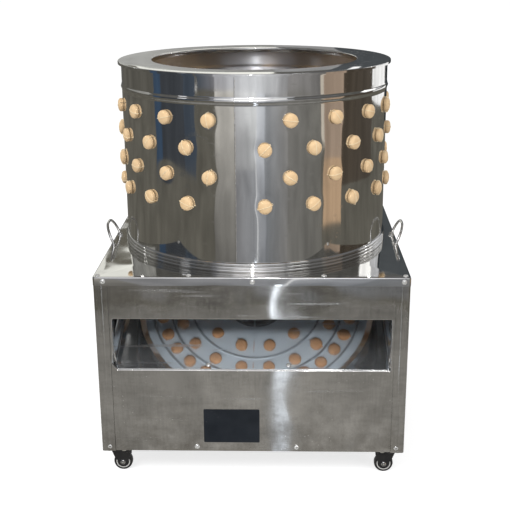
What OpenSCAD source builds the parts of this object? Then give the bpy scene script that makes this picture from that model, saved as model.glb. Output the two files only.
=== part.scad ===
// Drum poultry plucker. A steel drum lined with rubber fingers stands on a square sheet-steel
// base. A belt turns the finger plate at the foot of the drum, and a sloping chute under the
// plate carries the feathers to the outlet in the front panel. The base rolls on four casters.
// Front is -Y, up is +Z, and the origin is on the floor under the drum's axis.

/* [Drum] */
// Outer diameter of the drum shell
drum_d = 504; // [480:1:540]
// Height from the cover to the top of the rim
drum_h = 347.5; // [330:0.5:400]
// Sheet thickness of the drum shell
drum_t = 1.5; // [1:0.1:2]
// Distance from the rim down to the pressed bead
bead_drop = 40; // [25:1:50]
// Height of the pressed bead
bead_h = 13; // [8:0.5:16]
// How far the bead stands out of the wall
bead_out = 2; // [1:0.1:3]
// Height of the ridged foot ring round the drum
foot_h = 18; // [12:1:24]
// Number of ridges in the foot ring
foot_ridges = 3; // [2:1:4]
// How far the foot ring's ridges stand out
foot_out = 3.6; // [2.5:0.1:5]

/* [Rim] */
// Width of the flat rim ring, from its mouth to its outer edge
rim_w = 63.7; // [50:0.1:80]
// Overhang of the rim ring past the drum
rim_over = 6; // [4:0.5:10]
// Sheet thickness of the rim ring
rim_t = 1.5; // [1:0.1:2]
// Depth of the turned-down outer lip
rim_lip = 5; // [3:0.5:8]
// Depth of the turned-down lip round the mouth
mouth_lip = 8; // [4:0.5:12]

/* [Rubber fingers] */
// Diameter of a finger's head
head_d = 25; // [22:0.5:28]
// Height of a finger's head
head_h = 9.5; // [7:0.5:12]
// Diameter of the neck in the sheet
neck_d = 19.6; // [17:0.1:20]
// Radial play between neck and hole
neck_play = 0.2; // [0.1:0.05:0.4]
// Diameter of the collar inside the sheet
collar_d = 24; // [22:0.5:26]
// Thickness of that collar
collar_h = 5; // [4:0.5:7]
// Length of a finger from the sheet to the tip
finger_len = 78; // [65:1:85]
// Diameter of the ribbed body at the collar
root_d = 20; // [18:0.5:21]
// Diameter of the ribbed body at the tip
tip_d = 14; // [11:0.5:16]
// Height of each rib on the body
rib_out = 1; // [0.5:0.1:1.5]
// Ribs on each finger
finger_ribs = 5; // [4:1:7]
// Rows of fingers in the drum
wall_rows = 4; // [3:1:4]
// Distance from the rim down to the first row
row_drop = 79.5; // [70:0.5:85]
// Distance between rows
row_pitch = 49.5; // [44:0.5:52]
// Angle between neighbours in a row
finger_step = 20.2; // [19:0.1:20.5]
// Angle left free at the front between the two halves of a row
front_free = 31; // [27:0.5:33]
// Angle of the first finger right of the front in odd rows
odd_row_start = 15; // [12:0.5:17]
// Angle of the first finger right of the front in even rows
even_row_start = 4.9; // [3:0.1:7]
// Fingers right of the front in each row
row_right = 9; // [8:1:9]
// Fingers left of the front in each row
row_left = 8; // [7:1:8]

/* [Finger plate] */
// Gap between the plate's edge and the drum
plate_gap = 18.5; // [12:0.5:22]
// Thickness of the plate
plate_t = 3; // [2:0.5:5]
// Height of the plate's underside over the cover
plate_rise = 3; // [2:0.5:8]
// Distance from the plate's edge to the outer ring of fingers
outer_ring_in = 35; // [30:0.5:40]
// Distance from the outer ring to the middle ring
middle_ring_in = 36; // [34:0.5:40]
// Distance from the middle ring to the inner ring
inner_ring_in = 50; // [45:0.5:54]
// Fingers in the outer ring
outer_count = 30; // [24:1:32]
// Fingers in the middle ring
middle_count = 18; // [14:1:24]
// Fingers in the inner ring
inner_count = 12; // [8:1:16]
// Width of the pressed ribs under the plate
swage_w = 5; // [3:0.5:6]
// Depth of the pressed ribs
swage_h = 2; // [1:0.5:3]

/* [Base] */
// Distance from the drum's wall to the base's side
base_margin = 24; // [22:0.5:40]
// Height of the panels' lower edge over the floor
base_bottom = 50; // [46:1:60]
// Height from the panels' lower edge to the cover's top
base_h = 339; // [325:1:370]
// Sheet thickness of cover, panels and chute
sheet = 1.5; // [1:0.1:2]
// Overhang of the cover past the panels
cover_over = 2; // [1.9:0.1:4]
// Depth of the cover's skirt
skirt_h = 16; // [14:0.5:24]
// Width of the cover's ledge inside the drum
cover_ledge = 5; // [3:0.5:8]
// Width of the side panels' returns over front and rear
corner_return = 23; // [20:0.5:26]
// Width of the panels' top returns under the cover
top_return = 20; // [15:0.5:22]

/* [Feather outlet] */
// Distance from the base's side to the outlet
outlet_margin = 28.5; // [28:0.5:40]
// Height of the outlet's sill over the panels' lower edge
outlet_low = 164; // [155:1:175]
// Height of the outlet
outlet_h = 95; // [80:1:110]
// Depth of the outlet's turned-in edges
outlet_lip = 12; // [8:0.5:16]
// Drop from the cover to the chute's rear edge
chute_drop = 6; // [4:0.5:14]
// Height of the chute's side walls
chute_wall = 45; // [30:1:60]
// Side play between chute and outlet posts
chute_play = 1; // [0.5:0.1:2]
// Chute screws, distance left of the centre
chute_screw_left = 79; // [60:1:100]
// Chute screws, distance right of the centre
chute_screw_right = 66; // [50:1:100]

/* [Frame] */
// Leg of the corner posts
post_leg = 25; // [20:1:26]
// Thickness of posts and bottom frame
frame_t = 3; // [2:0.5:4]
// Inward flange of the bottom frame
frame_flange = 42; // [41:1:46]
// Upright flange of the bottom frame
frame_up = 30; // [24:1:36]
// Height of the bearing beams' tops over the panels' lower edge
beam_top = 190; // [180:1:195]
// Height of the bearing beams
beam_h = 40; // [30:1:45]
// Width of every beam
beam_w = 30; // [24:1:32]
// Wall of every beam
beam_wall = 3; // [2:0.5:4]
// Distance between the two bearing beams
beam_gap = 140; // [130:1:144]

/* [Drive] */
// Diameter of the main shaft
shaft_d = 30; // [25:1:32]
// Diameter of the shaft's threaded top
stud_d = 20; // [16:1:22]
// Running play between shaft and bearings
running_play = 0.05; // [0.02:0.01:0.09]
// Seating play between pieces fixed to each other
seat_play = 0.03; // [0.02:0.01:0.1]
// Outer diameter of the bearing housing
housing_d = 90; // [84:1:94]
// Side of the bearing housing's square flange
housing_flange = 176; // [170:1:190]
// Thickness of that flange
housing_flange_t = 10; // [8:1:12]
// Length of the bearing housing below its flange
housing_len = 110; // [90:1:115]
// Outer diameter of the bearings
bearing_d = 62; // [58:1:68]
// Width of the bearings
bearing_w = 16; // [12:1:20]
// Diameter of the large pulley
pulley_d = 200; // [180:1:210]
// Diameter of the motor pulley
motor_pulley_d = 60; // [50:1:70]
// Width of both pulleys
pulley_w = 22; // [20:1:24]
// Height of the belt's middle over the panels' lower edge
belt_height = 37; // [34:1:40]
// Top width of the belt
belt_w = 13; // [11:0.5:15]
// Height of the belt
belt_h = 8; // [6:0.5:9]
// Gap between belt and pulley groove
belt_gap = 0.35; // [0.3:0.05:0.6]

/* [Motor] */
// Distance from the main shaft back to the motor shaft
motor_back = 175; // [165:1:180]
// Diameter of the motor over its fins
motor_d = 150; // [140:1:156]
// Length of the finned body
motor_len = 110; // [90:1:115]
// Height of the fan cover
fan_h = 38; // [30:1:42]
// Diameter of the motor shaft
motor_shaft_d = 24; // [19:1:28]
// Cooling fins round the motor
motor_fins = 24; // [16:1:32]
// Thickness of the motor plate
motor_plate_t = 8; // [6:1:10]
// Height of the motor beams
motor_beam_h = 20; // [16:1:22]
// Height of the motor plate's top over the panels' lower edge
motor_plate_top = 84; // [82:1:90]

/* [Casters] */
// Diameter of the caster wheels
wheel_d = 35; // [32:0.5:36]
// Width of the caster wheels
wheel_w = 14; // [12:0.5:15]
// Distance from swivel axis to wheel axle
caster_trail = 10; // [8:0.5:12]
// Distance from the base's side to the swivel axis
caster_in_x = 22.5; // [22:0.5:26]
// Distance from the base's front to the swivel axis
caster_in_y = 25; // [22:0.5:28]
// Side of the caster's top plate
caster_plate = 38; // [37:0.5:42]
// Thickness of the caster's top plate
caster_plate_t = 2.5; // [2:0.5:3]
// Spacing of the caster's bolts
caster_bolt_gap = 28; // [27:0.5:30]
// Diameter of the swivel pin
king_d = 8; // [6:0.5:9]
// Diameter of the wheel axle
axle_d = 6; // [5:0.5:7]

/* [Handles] */
// Diameter of the handle rod
rod_d = 5; // [4.5:0.5:6]
// Distance between the two legs of a handle
handle_len = 77; // [70:1:90]
// Distance from the drum's axis forward to the handle's middle
handle_forward = 44; // [30:1:60]
// Length of a handle's legs along their slope
handle_leg = 36; // [34:1:40]
// Outward lean of the handles
handle_lean = 23; // [15:1:35]
// Bend radius of the rod
handle_bend = 31; // [24:1:32]
// Distance from the cover's edge to the handle's feet
handle_in = 6; // [6:0.5:10]

/* [Switch box] */
// Width of the switch box
box_w = 76; // [70:1:90]
// Height of the switch box
box_h = 112; // [100:1:130]
// Depth of the switch box
box_deep = 15.5; // [15:0.5:18]
// Wall of the switch box
box_wall = 2; // [1.5:0.1:2.5]
// Distance from the cover's skirt down to the switch box
box_drop = 17; // [12:1:24]
// Distance from the front beam bolts to the near side of the switch box
box_clear = 12; // [10:1:20]
// Diameter of the push buttons
button_d = 22; // [18:0.5:24]
// Travel of the push buttons
button_travel = 3; // [2:0.1:3]
// Play round the push buttons
button_play = 0.3; // [0.25:0.05:0.5]
// Cable diameter that the gland takes
gland_bore = 9; // [7:0.5:9.5]
// Diameter of the gland's nut over its corners
gland_d = 15; // [14:0.5:15.5]
// Length of the gland below the box
gland_len = 24; // [18:1:30]

/* [Plate and screws] */
// Width of the bare rating plate
label_w = 102; // [80:1:110]
// Height of the rating plate
label_h = 66.5; // [50:0.5:70]
// Height of the rating plate's lower edge over the panels' lower edge
label_low = 18; // [16:0.5:30]
// Distance from the middle of the base to the rating plate's middle
label_left = 37.8; // [0:0.1:60]
// Thickness of the rating plate
label_t = 0.8; // [0.5:0.1:1.2]
// Head diameter of the dome screws
screw_head_d = 9; // [8:0.5:10]
// Head height of the dome screws
screw_head_h = 2.6; // [2:0.1:3]
// Shank diameter of the dome screws
screw_d = 4; // [3:0.5:4.5]
// Radial play of a screw in its hole
screw_play = 0.1; // [0.05:0.05:0.2]
// Shank diameter of the frame bolts
bolt_d = 8; // [6:0.5:8]
// Shank diameter of the caster bolts
caster_bolt_d = 5; // [4:0.5:5]

/* [Hidden] */
$fn = 64;

// Overlap that keeps cuts clear of the faces they open
eps = 0.5;
// Small gap between flat sheet edges that face each other
sheet_gap = 0.3;

// Base and cover
half = drum_d / 2 + base_margin;
cover_half = half + cover_over;
cover_top = base_bottom + base_h;
cover_under = cover_top - sheet;
side_in = half - sheet;
front_out = half - sheet;
front_in = half - 2 * sheet;
post_top = cover_under - sheet;
outlet_half = half - outlet_margin;
outlet_sill = base_bottom + outlet_low;
outlet_top = outlet_sill + outlet_h;

// Chute: its top face runs from the outlet's sill up to the rear under the cover
chute_half = half - sheet - post_leg - chute_play;
chute_rise = cover_under - chute_drop - outlet_sill;
chute_run = 2 * front_in;
chute_angle = atan2(chute_rise, chute_run);
chute_sill_t = sheet / cos(chute_angle);
sill_depth = 22;
chute_screw_back = sill_depth / 2;

// Drum and rim
drum_r = drum_d / 2;
drum_in = drum_r - drum_t;
rim_top = cover_top + drum_h;
rim_r = drum_r + rim_over;
mouth_r = rim_r - rim_w;
bead_steps = 6;
ridge_steps = 4;
foot_root = 1;

// Gap under a finger's head and over its collar, where the sheet is curved
wall_seat = drum_r - sqrt(drum_r * drum_r - head_d * head_d / 4) + 0.05;
plate_seat = 0.05;

// Finger plate
plate_r = drum_in - plate_gap;
plate_z = cover_top + plate_rise;
outer_ring_r = plate_r - outer_ring_in;
middle_ring_r = outer_ring_r - middle_ring_in;
inner_ring_r = middle_ring_r - inner_ring_in;
swage_r = [(inner_ring_r + middle_ring_r) / 2, (middle_ring_r + outer_ring_r) / 2,
    outer_ring_r + outer_ring_in / 2];

// Drive train
beam_top_z = base_bottom + beam_top;
housing_bottom = beam_top_z - housing_len;
housing_top = beam_top_z + housing_flange_t;
housing_lip = 3;
upper_bearing_z = housing_top - housing_lip - bearing_w;
lower_bearing_z = housing_bottom + housing_lip;
belt_z = base_bottom + belt_height;
hub_flange_d = 120;
hub_flange_t = 8;
hub_boss_d = 60;
hub_len = 30;
hub_bolt_ring = 90;
hub_nut_af = 30;
hub_nut_h = 20;
washer_t = 3;
guard_d = 56;
guard_t = 2;
guard_top = plate_z - hub_len - 4;
guard_low = outlet_sill + chute_rise / 2 - guard_d / 2 * tan(chute_angle) - 10;
shaft_low = belt_z - pulley_w / 2;
stud_low = plate_z - 1;
stud_top = plate_z + plate_t + washer_t + hub_nut_h - 6;
pulley_rim_t = 8;
pulley_web = 8;
pulley_boss_d = 64;
flank = tan(19);
belt_sink = 0.5;
belt_slim = 0.05;
belt_join = 1;
motor_z = base_bottom + motor_plate_top;
motor_flange_d = motor_d + 10;
motor_flange_t = 10;
motor_shell_r = motor_d / 2 - 6;
motor_top_z = motor_z + motor_flange_t + motor_len;
fan_cover_t = 1.5;
motor_beam_near = motor_back - motor_flange_d / 2 + beam_w / 2 + 10;
motor_beam_far = motor_back + motor_flange_d / 2 - beam_w / 2 - 10;
motor_plate_half = motor_flange_d / 2 + 20;
motor_plate_hole = motor_shaft_d + 20;
motor_bolt_gap = motor_flange_d - 36;
terminal_deep = 38;
terminal_w = 62;
terminal_h = 60;
terminal_up = 20;
housing_bolt_gap = housing_flange - 40;
belt_angle = asin((pulley_d - motor_pulley_d) / 2 / motor_back);

// Casters, all drawn about their own swivel axis
wheel_r = wheel_d / 2;
king_gap = 0.3;
crown_top = base_bottom - caster_plate_t - king_gap;
crown_t = 3.5;
crown_low = crown_top - crown_t;
crown_r = 14;
fork_t = 2;
fork_play = 1;
fork_back = -21;
fork_front = 15.5;
fork_in = wheel_w / 2 + fork_play;
king_head_r = 6.5;
king_head_t = 2.4;
bridge_t = 2;
boss_r = 6;
tread_round = 3;
caster_x = half - caster_in_x;
caster_y = half - caster_in_y;

// Switch box on the right panel
box_y = -beam_gap / 2 + box_clear + box_w / 2;
box_z = cover_top - skirt_h - box_drop - box_h / 2;
box_face = half + box_deep;
box_round = 6;
button_gap = 50;
button_proud = button_travel + 0.2;
button_flange = 2;
button_flange_d = button_d + 4;
button_seat = box_face - 2 * box_wall;
gland_x = half + box_deep / 2;
gland_nut_h = 8;

// Places of screws along the panels, from the middle of the base
cover_screw_x = [-half + 6, -110, 127, half - 7];
cover_screw_in = 9.5;
side_screw_y = -18;
skirt_screw_x = [-half + 16, 2, half - 10];
bottom_screw_x = [-102, 81];
corner_screw_in = 13;
bottom_screw_up = 9;
side_screw_gap = 160;
screw_hole_d = screw_d + 2 * screw_play;
bolt_hole_d = bolt_d + 2 * screw_play;
beam_bolt_gap = 22;

function row_z(row) = rim_top - row_drop - (row - 1) * row_pitch;
function row_start(row) = row % 2 == 1 ? odd_row_start : even_row_start;
function row_angles(row) = concat(
    [for (k = [0 : row_right - 1]) row_start(row) + k * finger_step],
    [for (k = [0 : row_left - 1]) row_start(row) - front_free - k * finger_step]);

// Rubber finger: head above z = 0, neck through the sheet, ribbed body down to the tip
function body_r(s) = root_d / 2 + (tip_d - root_d) / 2 * s;
function rib_points(sheet_t, from, to) = [for (i = [finger_ribs - 1 : -1 : 0])
    let (p = (to - from) / finger_ribs, z = from + i * p, s = i / finger_ribs)
    each [[body_r(s), -sheet_t - z - p * 0.8], [body_r(s) + rib_out, -sheet_t - z - p * 0.5],
        [body_r(s) + rib_out, -sheet_t - z - p * 0.25], [body_r(s), -sheet_t - z]]];
function finger_outline(sheet_t, seat) = concat(
    [[0, -sheet_t - finger_len], [tip_d / 2 - 2, -sheet_t - finger_len],
        [tip_d / 2, -sheet_t - finger_len + 2]],
    rib_points(sheet_t, seat + collar_h, finger_len - 6),
    [[collar_d / 2 - 1, -sheet_t - seat - collar_h], [collar_d / 2, -sheet_t - seat - collar_h + 1],
        [collar_d / 2, -sheet_t - seat], [neck_d / 2, -sheet_t - seat], [neck_d / 2, plate_seat],
        [head_d / 2 - 0.5, plate_seat], [head_d / 2, plate_seat + 1], [head_d / 2, head_h * 0.45]],
    [for (a = [15 : 15 : 90]) [head_d / 2 * pow(cos(a), 0.7), head_h * (0.45 + 0.55 * sin(a))]]);

// Pulley outline about its own middle, with one belt groove
function groove_half(r, rim_r) = belt_w / 2 + (r - rim_r + belt_sink) * flank + belt_gap / cos(19);
function pulley_outline(rim_r, bore_r, boss_r, web) =
    let (deep = belt_h + belt_sink + 1, w = pulley_w / 2, inner = rim_r - deep - pulley_rim_t)
    concat([[bore_r, -w], [boss_r, -w]],
        web > 0 ? [[boss_r, -web / 2], [inner, -web / 2], [inner, -w]] : [],
        [[rim_r, -w], [rim_r, -groove_half(rim_r, rim_r)],
            [rim_r - deep, -groove_half(rim_r - deep, rim_r)],
            [rim_r - deep, groove_half(rim_r - deep, rim_r)],
            [rim_r, groove_half(rim_r, rim_r)], [rim_r, w]],
        web > 0 ? [[inner, w], [inner, web / 2], [boss_r, web / 2]] : [],
        [[boss_r, w], [bore_r, w]]);
function belt_section(rim_r, slim = 0) =
    let (top = rim_r - belt_sink - slim, low = rim_r - belt_sink - belt_h + slim,
        half_top = belt_w / 2 - slim, half_low = belt_w / 2 - belt_h * flank - slim)
    [[low, -half_low], [top, -half_top], [top, half_top], [low, half_low]];

// Shapes that repeat

module rounded_rect(w, h, r) {
    square([w - 2 * r, h], center = true);
    square([w, h - 2 * r], center = true);
    for (x = [-1, 1], y = [-1, 1])
        translate([x * (w / 2 - r), y * (h / 2 - r)])
            circle(r);
}

module tube(outer_d, inner_d, z0, z1) {
    translate([0, 0, z0])
        difference() {
            cylinder(d = outer_d, h = z1 - z0);
            translate([0, 0, -eps])
                cylinder(d = inner_d, h = z1 - z0 + 2 * eps);
        }
}

// Dome-headed screw with its head on z = 0 and its shank below
module dome_screw(shank) {
    rotate_extrude()
        polygon(concat([[0, -shank], [screw_d / 2, -shank], [screw_d / 2, 0], [screw_head_d / 2, 0]],
            [for (a = [15 : 15 : 90]) [screw_head_d / 2 * cos(a), screw_head_h * sin(a)]]));
}

module hole(d, deep) {
    translate([0, 0, -deep])
        cylinder(d = d, h = deep + eps);
}

// Hexagon bolt with its head on z = 0 and its shank below
module hex_bolt(d, shank) {
    cylinder(d = 1.9 * d, h = 0.65 * d, $fn = 6);
    translate([0, 0, -shank])
        cylinder(d = d, h = shank + 0.1);
}

// Places, each with +Z pointing out of the face that carries the piece

module on_front(x, z, out) {
    translate([x, -out, z])
        rotate([90, 0, 0])
            children();
}

module on_rear(x, z, out) {
    translate([x, out, z])
        rotate([-90, 0, 0])
            children();
}

module on_sides(y, z) {
    for (s = [-1, 1])
        translate([s * half, y, z])
            rotate([0, s * 90, 0])
                children();
}

module at_cover_screws() {
    for (x = cover_screw_x, s = [-1, 1])
        translate([x, s * (cover_half - cover_screw_in), cover_top])
            children();
    for (s = [-1, 1])
        translate([s * (cover_half - cover_screw_in), side_screw_y, cover_top])
            children();
}

module at_skirt_screws() {
    for (x = skirt_screw_x) {
        on_front(x, cover_top - skirt_h / 2, cover_half)
            children();
        on_rear(x, cover_top - skirt_h / 2, cover_half)
            children();
    }
}

module at_panel_screws() {
    z = base_bottom + bottom_screw_up;
    for (x = bottom_screw_x) {
        on_front(x, z, front_out)
            children();
        on_rear(x, z, front_out)
            children();
    }
    for (s = [-1, 1]) {
        on_front(s * (half - corner_screw_in), z, half)
            children();
        on_rear(s * (half - corner_screw_in), z, half)
            children();
    }
    for (y = [-1 : 1])
        on_sides(y * side_screw_gap, z)
            children();
}

module at_beam_bolts() {
    for (s = [-1, 1], dz = [-1, 1])
        on_sides(s * beam_gap / 2, beam_top_z - beam_h / 2 + dz * beam_bolt_gap / 2)
            children();
    for (y = [motor_beam_near, motor_beam_far])
        on_sides(y, motor_z - motor_plate_t - motor_beam_h / 2)
            children();
}

module at_housing_bolts() {
    for (x = [-1, 1], y = [-1, 1])
        translate([x * housing_bolt_gap / 2, y * beam_gap / 2, housing_top])
            children();
}

module at_motor_bolts() {
    for (x = [-1, 1], y = [-1, 1])
        translate([x * motor_bolt_gap / 2, motor_back + y * motor_bolt_gap / 2,
                motor_z + motor_flange_t])
            children();
}

module at_casters() {
    for (x = [-1, 1], y = [-1, 1])
        translate([x * caster_x, y * caster_y, 0])
            children();
}

module at_caster_bolts() {
    at_casters()
        for (x = [-1, 1], y = [-1, 1])
            translate([x * caster_bolt_gap / 2, y * caster_bolt_gap / 2,
                    base_bottom - caster_plate_t])
                rotate([180, 0, 0])
                    children();
}

module on_chute() {
    translate([0, -front_in, outlet_sill])
        rotate([chute_angle, 0, 0])
            children();
}

module at_chute_screws() {
    for (x = [-chute_screw_left, chute_screw_right])
        on_chute()
            translate([x, chute_screw_back, 0])
                children();
}

module at_wall_row(row) {
    for (a = row_angles(row))
        rotate([0, 0, a])
            translate([0, -drum_r, row_z(row)])
                rotate([90, 0, 0])
                    children();
}

module at_plate_ring(r, count) {
    for (i = [0 : count - 1])
        rotate([0, 0, (i + 0.5) * 360 / count])
            translate([0, -r, plate_z])
                rotate([180, 0, 0])
                    children();
}

module at_hub_bolts() {
    for (a = [45 : 90 : 315])
        rotate([0, 0, a])
            translate([hub_bolt_ring / 2, 0, plate_z + plate_t])
                children();
}

// Base

module front_or_rear_sheet() {
    translate([-side_in + sheet_gap, -front_out, base_bottom])
        cube([2 * (side_in - sheet_gap), sheet, cover_under - base_bottom]);
    translate([-side_in + sheet_gap, -front_in - sheet / 2, cover_under - sheet])
        cube([2 * (side_in - sheet_gap), top_return + sheet / 2, sheet]);
}

module front_panel() {
    color("silver")
        difference() {
            union() {
                difference() {
                    front_or_rear_sheet();
                    translate([-outlet_half, -front_out - eps, outlet_sill - chute_sill_t])
                        cube([2 * outlet_half, sheet + 2 * eps, outlet_h + chute_sill_t]);
                }
                translate([-outlet_half, -front_out, outlet_top])
                    cube([2 * outlet_half, outlet_lip, sheet]);
                translate([-outlet_half, 0, 0])
                    rotate([90, 0, 90])
                        linear_extrude(2 * outlet_half)
                            polygon(sill_outline());
            }
            at_chute_screws()
                hole(screw_hole_d, 4 * sheet);
            at_cover_screws()
                hole(screw_hole_d, 3 * sheet);
            at_skirt_screws()
                hole(screw_hole_d, 6 * sheet);
            at_panel_screws()
                hole(screw_hole_d, 4 * sheet);
        }
}

// Sloping sill under the chute's front edge, joined to the panel below the outlet
function sill_outline() =
    let (t = chute_sill_t, z = outlet_sill - t, d = sill_depth, g = tan(chute_angle))
    [[-front_out, z - t], [-front_out, z - sheet * g], [-front_in, z], [-front_in + d, z + d * g],
        [-front_in + d, z + d * g - t], [-front_in, z - t]];

module rear_panel() {
    color("silver")
        difference() {
            mirror([0, 1, 0])
                front_or_rear_sheet();
            at_cover_screws()
                hole(screw_hole_d, 3 * sheet);
            at_skirt_screws()
                hole(screw_hole_d, 6 * sheet);
            at_panel_screws()
                hole(screw_hole_d, 4 * sheet);
        }
}

// Side sheet at +X with a return over the front and one over the rear
module side_sheet() {
    tall = cover_under - base_bottom;
    difference() {
        union() {
            translate([side_in, -half, base_bottom])
                cube([sheet, 2 * half, tall]);
            for (s = [-1, 1])
                translate([half - corner_return, s * (half - sheet / 2) - sheet / 2, base_bottom])
                    cube([corner_return, sheet, tall]);
            translate([half - sheet / 2 - top_return, -front_in + top_return + sheet_gap,
                    cover_under - sheet])
                cube([top_return, 2 * (front_in - top_return - sheet_gap), sheet]);
        }
        at_cover_screws()
            hole(screw_hole_d, 3 * sheet);
        at_skirt_screws()
            hole(screw_hole_d, 6 * sheet);
        at_panel_screws()
            hole(screw_hole_d, 4 * sheet);
        at_beam_bolts()
            hole(bolt_hole_d, 2 * sheet);
    }
}

module left_panel() {
    color("silver")
        difference() {
            mirror([1, 0, 0])
                side_sheet();
            at_skirt_screws()
                hole(screw_hole_d, 6 * sheet);
        }
}

module right_panel() {
    color("silver")
        side_sheet();
}

module top_cover() {
    color("gainsboro")
        difference() {
            translate([-cover_half, -cover_half, cover_top - skirt_h])
                cube([2 * cover_half, 2 * cover_half, skirt_h]);
            translate([-cover_half + sheet, -cover_half + sheet, cover_top - skirt_h - eps])
                cube([2 * (cover_half - sheet), 2 * (cover_half - sheet), skirt_h - sheet + eps]);
            translate([0, 0, cover_top - skirt_h])
                cylinder(r = drum_in - cover_ledge, h = skirt_h + eps);
            at_cover_screws()
                hole(screw_hole_d, 2 * sheet);
            at_skirt_screws()
                hole(screw_hole_d, 2 * sheet);
        }
}

module bottom_frame() {
    color("dimgray")
        difference() {
            translate([-side_in, -front_in, base_bottom])
                cube([2 * side_in, 2 * front_in, frame_up]);
            translate([-side_in + frame_t, -front_in + frame_t, base_bottom + frame_t])
                cube([2 * (side_in - frame_t), 2 * (front_in - frame_t), frame_up]);
            translate([-side_in + frame_flange, -front_in + frame_flange, base_bottom - eps])
                cube([2 * (side_in - frame_flange), 2 * (front_in - frame_flange), frame_up]);
            at_panel_screws()
                hole(screw_hole_d, 4 * sheet + frame_t);
            at_caster_bolts()
                hole(caster_bolt_d + 2 * screw_play, caster_plate_t + 2 * frame_t);
        }
}

module corner_posts() {
    low = base_bottom + frame_up;
    color("dimgray")
        for (x = [0, 1], y = [0, 1])
            mirror([x, 0, 0])
                mirror([0, y, 0])
                    translate([side_in, front_in, low])
                        difference() {
                            translate([-post_leg, -post_leg, 0])
                                cube([post_leg, post_leg, post_top - low]);
                            translate([-post_leg - eps, -post_leg - eps, -eps])
                                cube([post_leg - frame_t + eps, post_leg - frame_t + eps,
                                    post_top - low + 2 * eps]);
                        }
}

// Drum

function bead_points(r) = [for (i = [0 : bead_steps])
    let (a = 180 * i / bead_steps)
    [r + bead_out * sin(a), rim_top - bead_drop - bead_h / 2 - bead_h / 2 * cos(a)]];

module drum_shell() {
    top = rim_top - rim_t;
    color("silver")
        difference() {
            rotate_extrude()
                polygon(concat([[drum_in, cover_top], [drum_r, cover_top]], bead_points(drum_r),
                    [[drum_r, top], [drum_in, top]],
                    [for (i = [bead_steps : -1 : 0]) bead_points(drum_in)[i]]));
            for (row = [1 : wall_rows])
                at_wall_row(row)
                    hole(neck_d + 2 * neck_play, 3 * drum_t);
        }
}

module foot_ring() {
    ridge = foot_h / foot_ridges;
    inner = drum_r + seat_play;
    color("silver")
        rotate_extrude()
            polygon(concat([[inner, cover_top]],
                [for (k = [0 : foot_ridges - 1], i = [0 : ridge_steps])
                    let (a = 180 * i / ridge_steps)
                    [drum_r + foot_root + (foot_out - foot_root) * sin(a),
                        cover_top + ridge * (k + i / ridge_steps * 0.98)]],
                [[inner, cover_top + foot_h]]));
}

module rim_ring() {
    color("gainsboro")
        rotate_extrude()
            polygon([[mouth_r, rim_top], [rim_r, rim_top], [rim_r, rim_top - rim_lip],
                [rim_r - rim_t, rim_top - rim_lip], [rim_r - rim_t, rim_top - rim_t],
                [mouth_r + rim_t, rim_top - rim_t], [mouth_r + rim_t, rim_top - mouth_lip],
                [mouth_r, rim_top - mouth_lip]]);
}

module wall_finger_row(row) {
    color("burlywood")
        at_wall_row(row)
            rotate_extrude()
                polygon(finger_outline(drum_t, wall_seat));
}

module wall_fingers_row_1() { wall_finger_row(1); }
module wall_fingers_row_2() { wall_finger_row(2); }
module wall_fingers_row_3() { wall_finger_row(3); }
module wall_fingers_row_4() { wall_finger_row(4); }

// Chute

module chute() {
    long = chute_run / cos(chute_angle) - sheet;
    wall_back = chute_wall * tan(chute_angle);
    color("lightsteelblue")
        difference() {
            on_chute() {
                translate([-chute_half, 0, -sheet])
                    cube([2 * chute_half, long, sheet]);
                for (s = [-1, 1])
                    translate([s * (chute_half - sheet / 2) - sheet / 2, wall_back, -sheet / 2])
                        cube([sheet, long - wall_back, chute_wall]);
            }
            translate([-half, -half, cover_under - sheet - sheet_gap])
                cube([2 * half, 2 * half, chute_wall + 2 * sheet]);
            translate([-half, front_in - sheet_gap, outlet_sill])
                cube([2 * half, sheet + eps, base_h]);
            cylinder(d = guard_d + 2 * screw_play, h = cover_under);
            at_chute_screws()
                hole(screw_hole_d, 2 * sheet);
        }
}

module chute_screws() {
    color("gainsboro")
        at_chute_screws()
            dome_screw(2.5 * sheet);
}

module shaft_guard() {
    color("silver")
        tube(guard_d, guard_d - 2 * guard_t, guard_low, guard_top);
}

// Drive

module hollow_beam(y, top, tall) {
    translate([-side_in, y - beam_w / 2, top - tall])
        difference() {
            cube([2 * side_in, beam_w, tall]);
            translate([-eps, beam_wall, beam_wall])
                cube([2 * (side_in + eps), beam_w - 2 * beam_wall, tall - 2 * beam_wall]);
        }
}

module bearing_beams() {
    color("dimgray")
        difference() {
            for (s = [-1, 1])
                hollow_beam(s * beam_gap / 2, beam_top_z, beam_h);
            at_housing_bolts()
                hole(bolt_hole_d, housing_flange_t + 2 * beam_wall);
        }
}

module motor_beams() {
    color("dimgray")
        for (y = [motor_beam_near, motor_beam_far])
            hollow_beam(y, motor_z - motor_plate_t, motor_beam_h);
}

module bearing_housing() {
    color("slategray")
        difference() {
            union() {
                translate([0, 0, beam_top_z])
                    linear_extrude(housing_flange_t)
                        rounded_rect(housing_flange, housing_flange, 10);
                translate([0, 0, housing_bottom])
                    cylinder(d = housing_d, h = housing_len + eps);
            }
            translate([0, 0, housing_bottom - eps])
                cylinder(d = shaft_d + 10, h = housing_len + housing_flange_t + 2 * eps);
            for (z = [lower_bearing_z - housing_lip - eps, upper_bearing_z])
                translate([0, 0, z])
                    cylinder(d = bearing_d + 2 * seat_play, h = bearing_w + housing_lip + eps);
            at_housing_bolts()
                hole(bolt_hole_d, housing_flange_t + eps);
        }
}

module bearings() {
    color("lightgray")
        for (z = [lower_bearing_z, upper_bearing_z])
            tube(bearing_d, shaft_d + 2 * running_play, z, z + bearing_w);
}

module shaft_seal() {
    color("black")
        tube(bearing_d, shaft_d + 2 * running_play, upper_bearing_z + bearing_w, housing_top);
}

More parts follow.
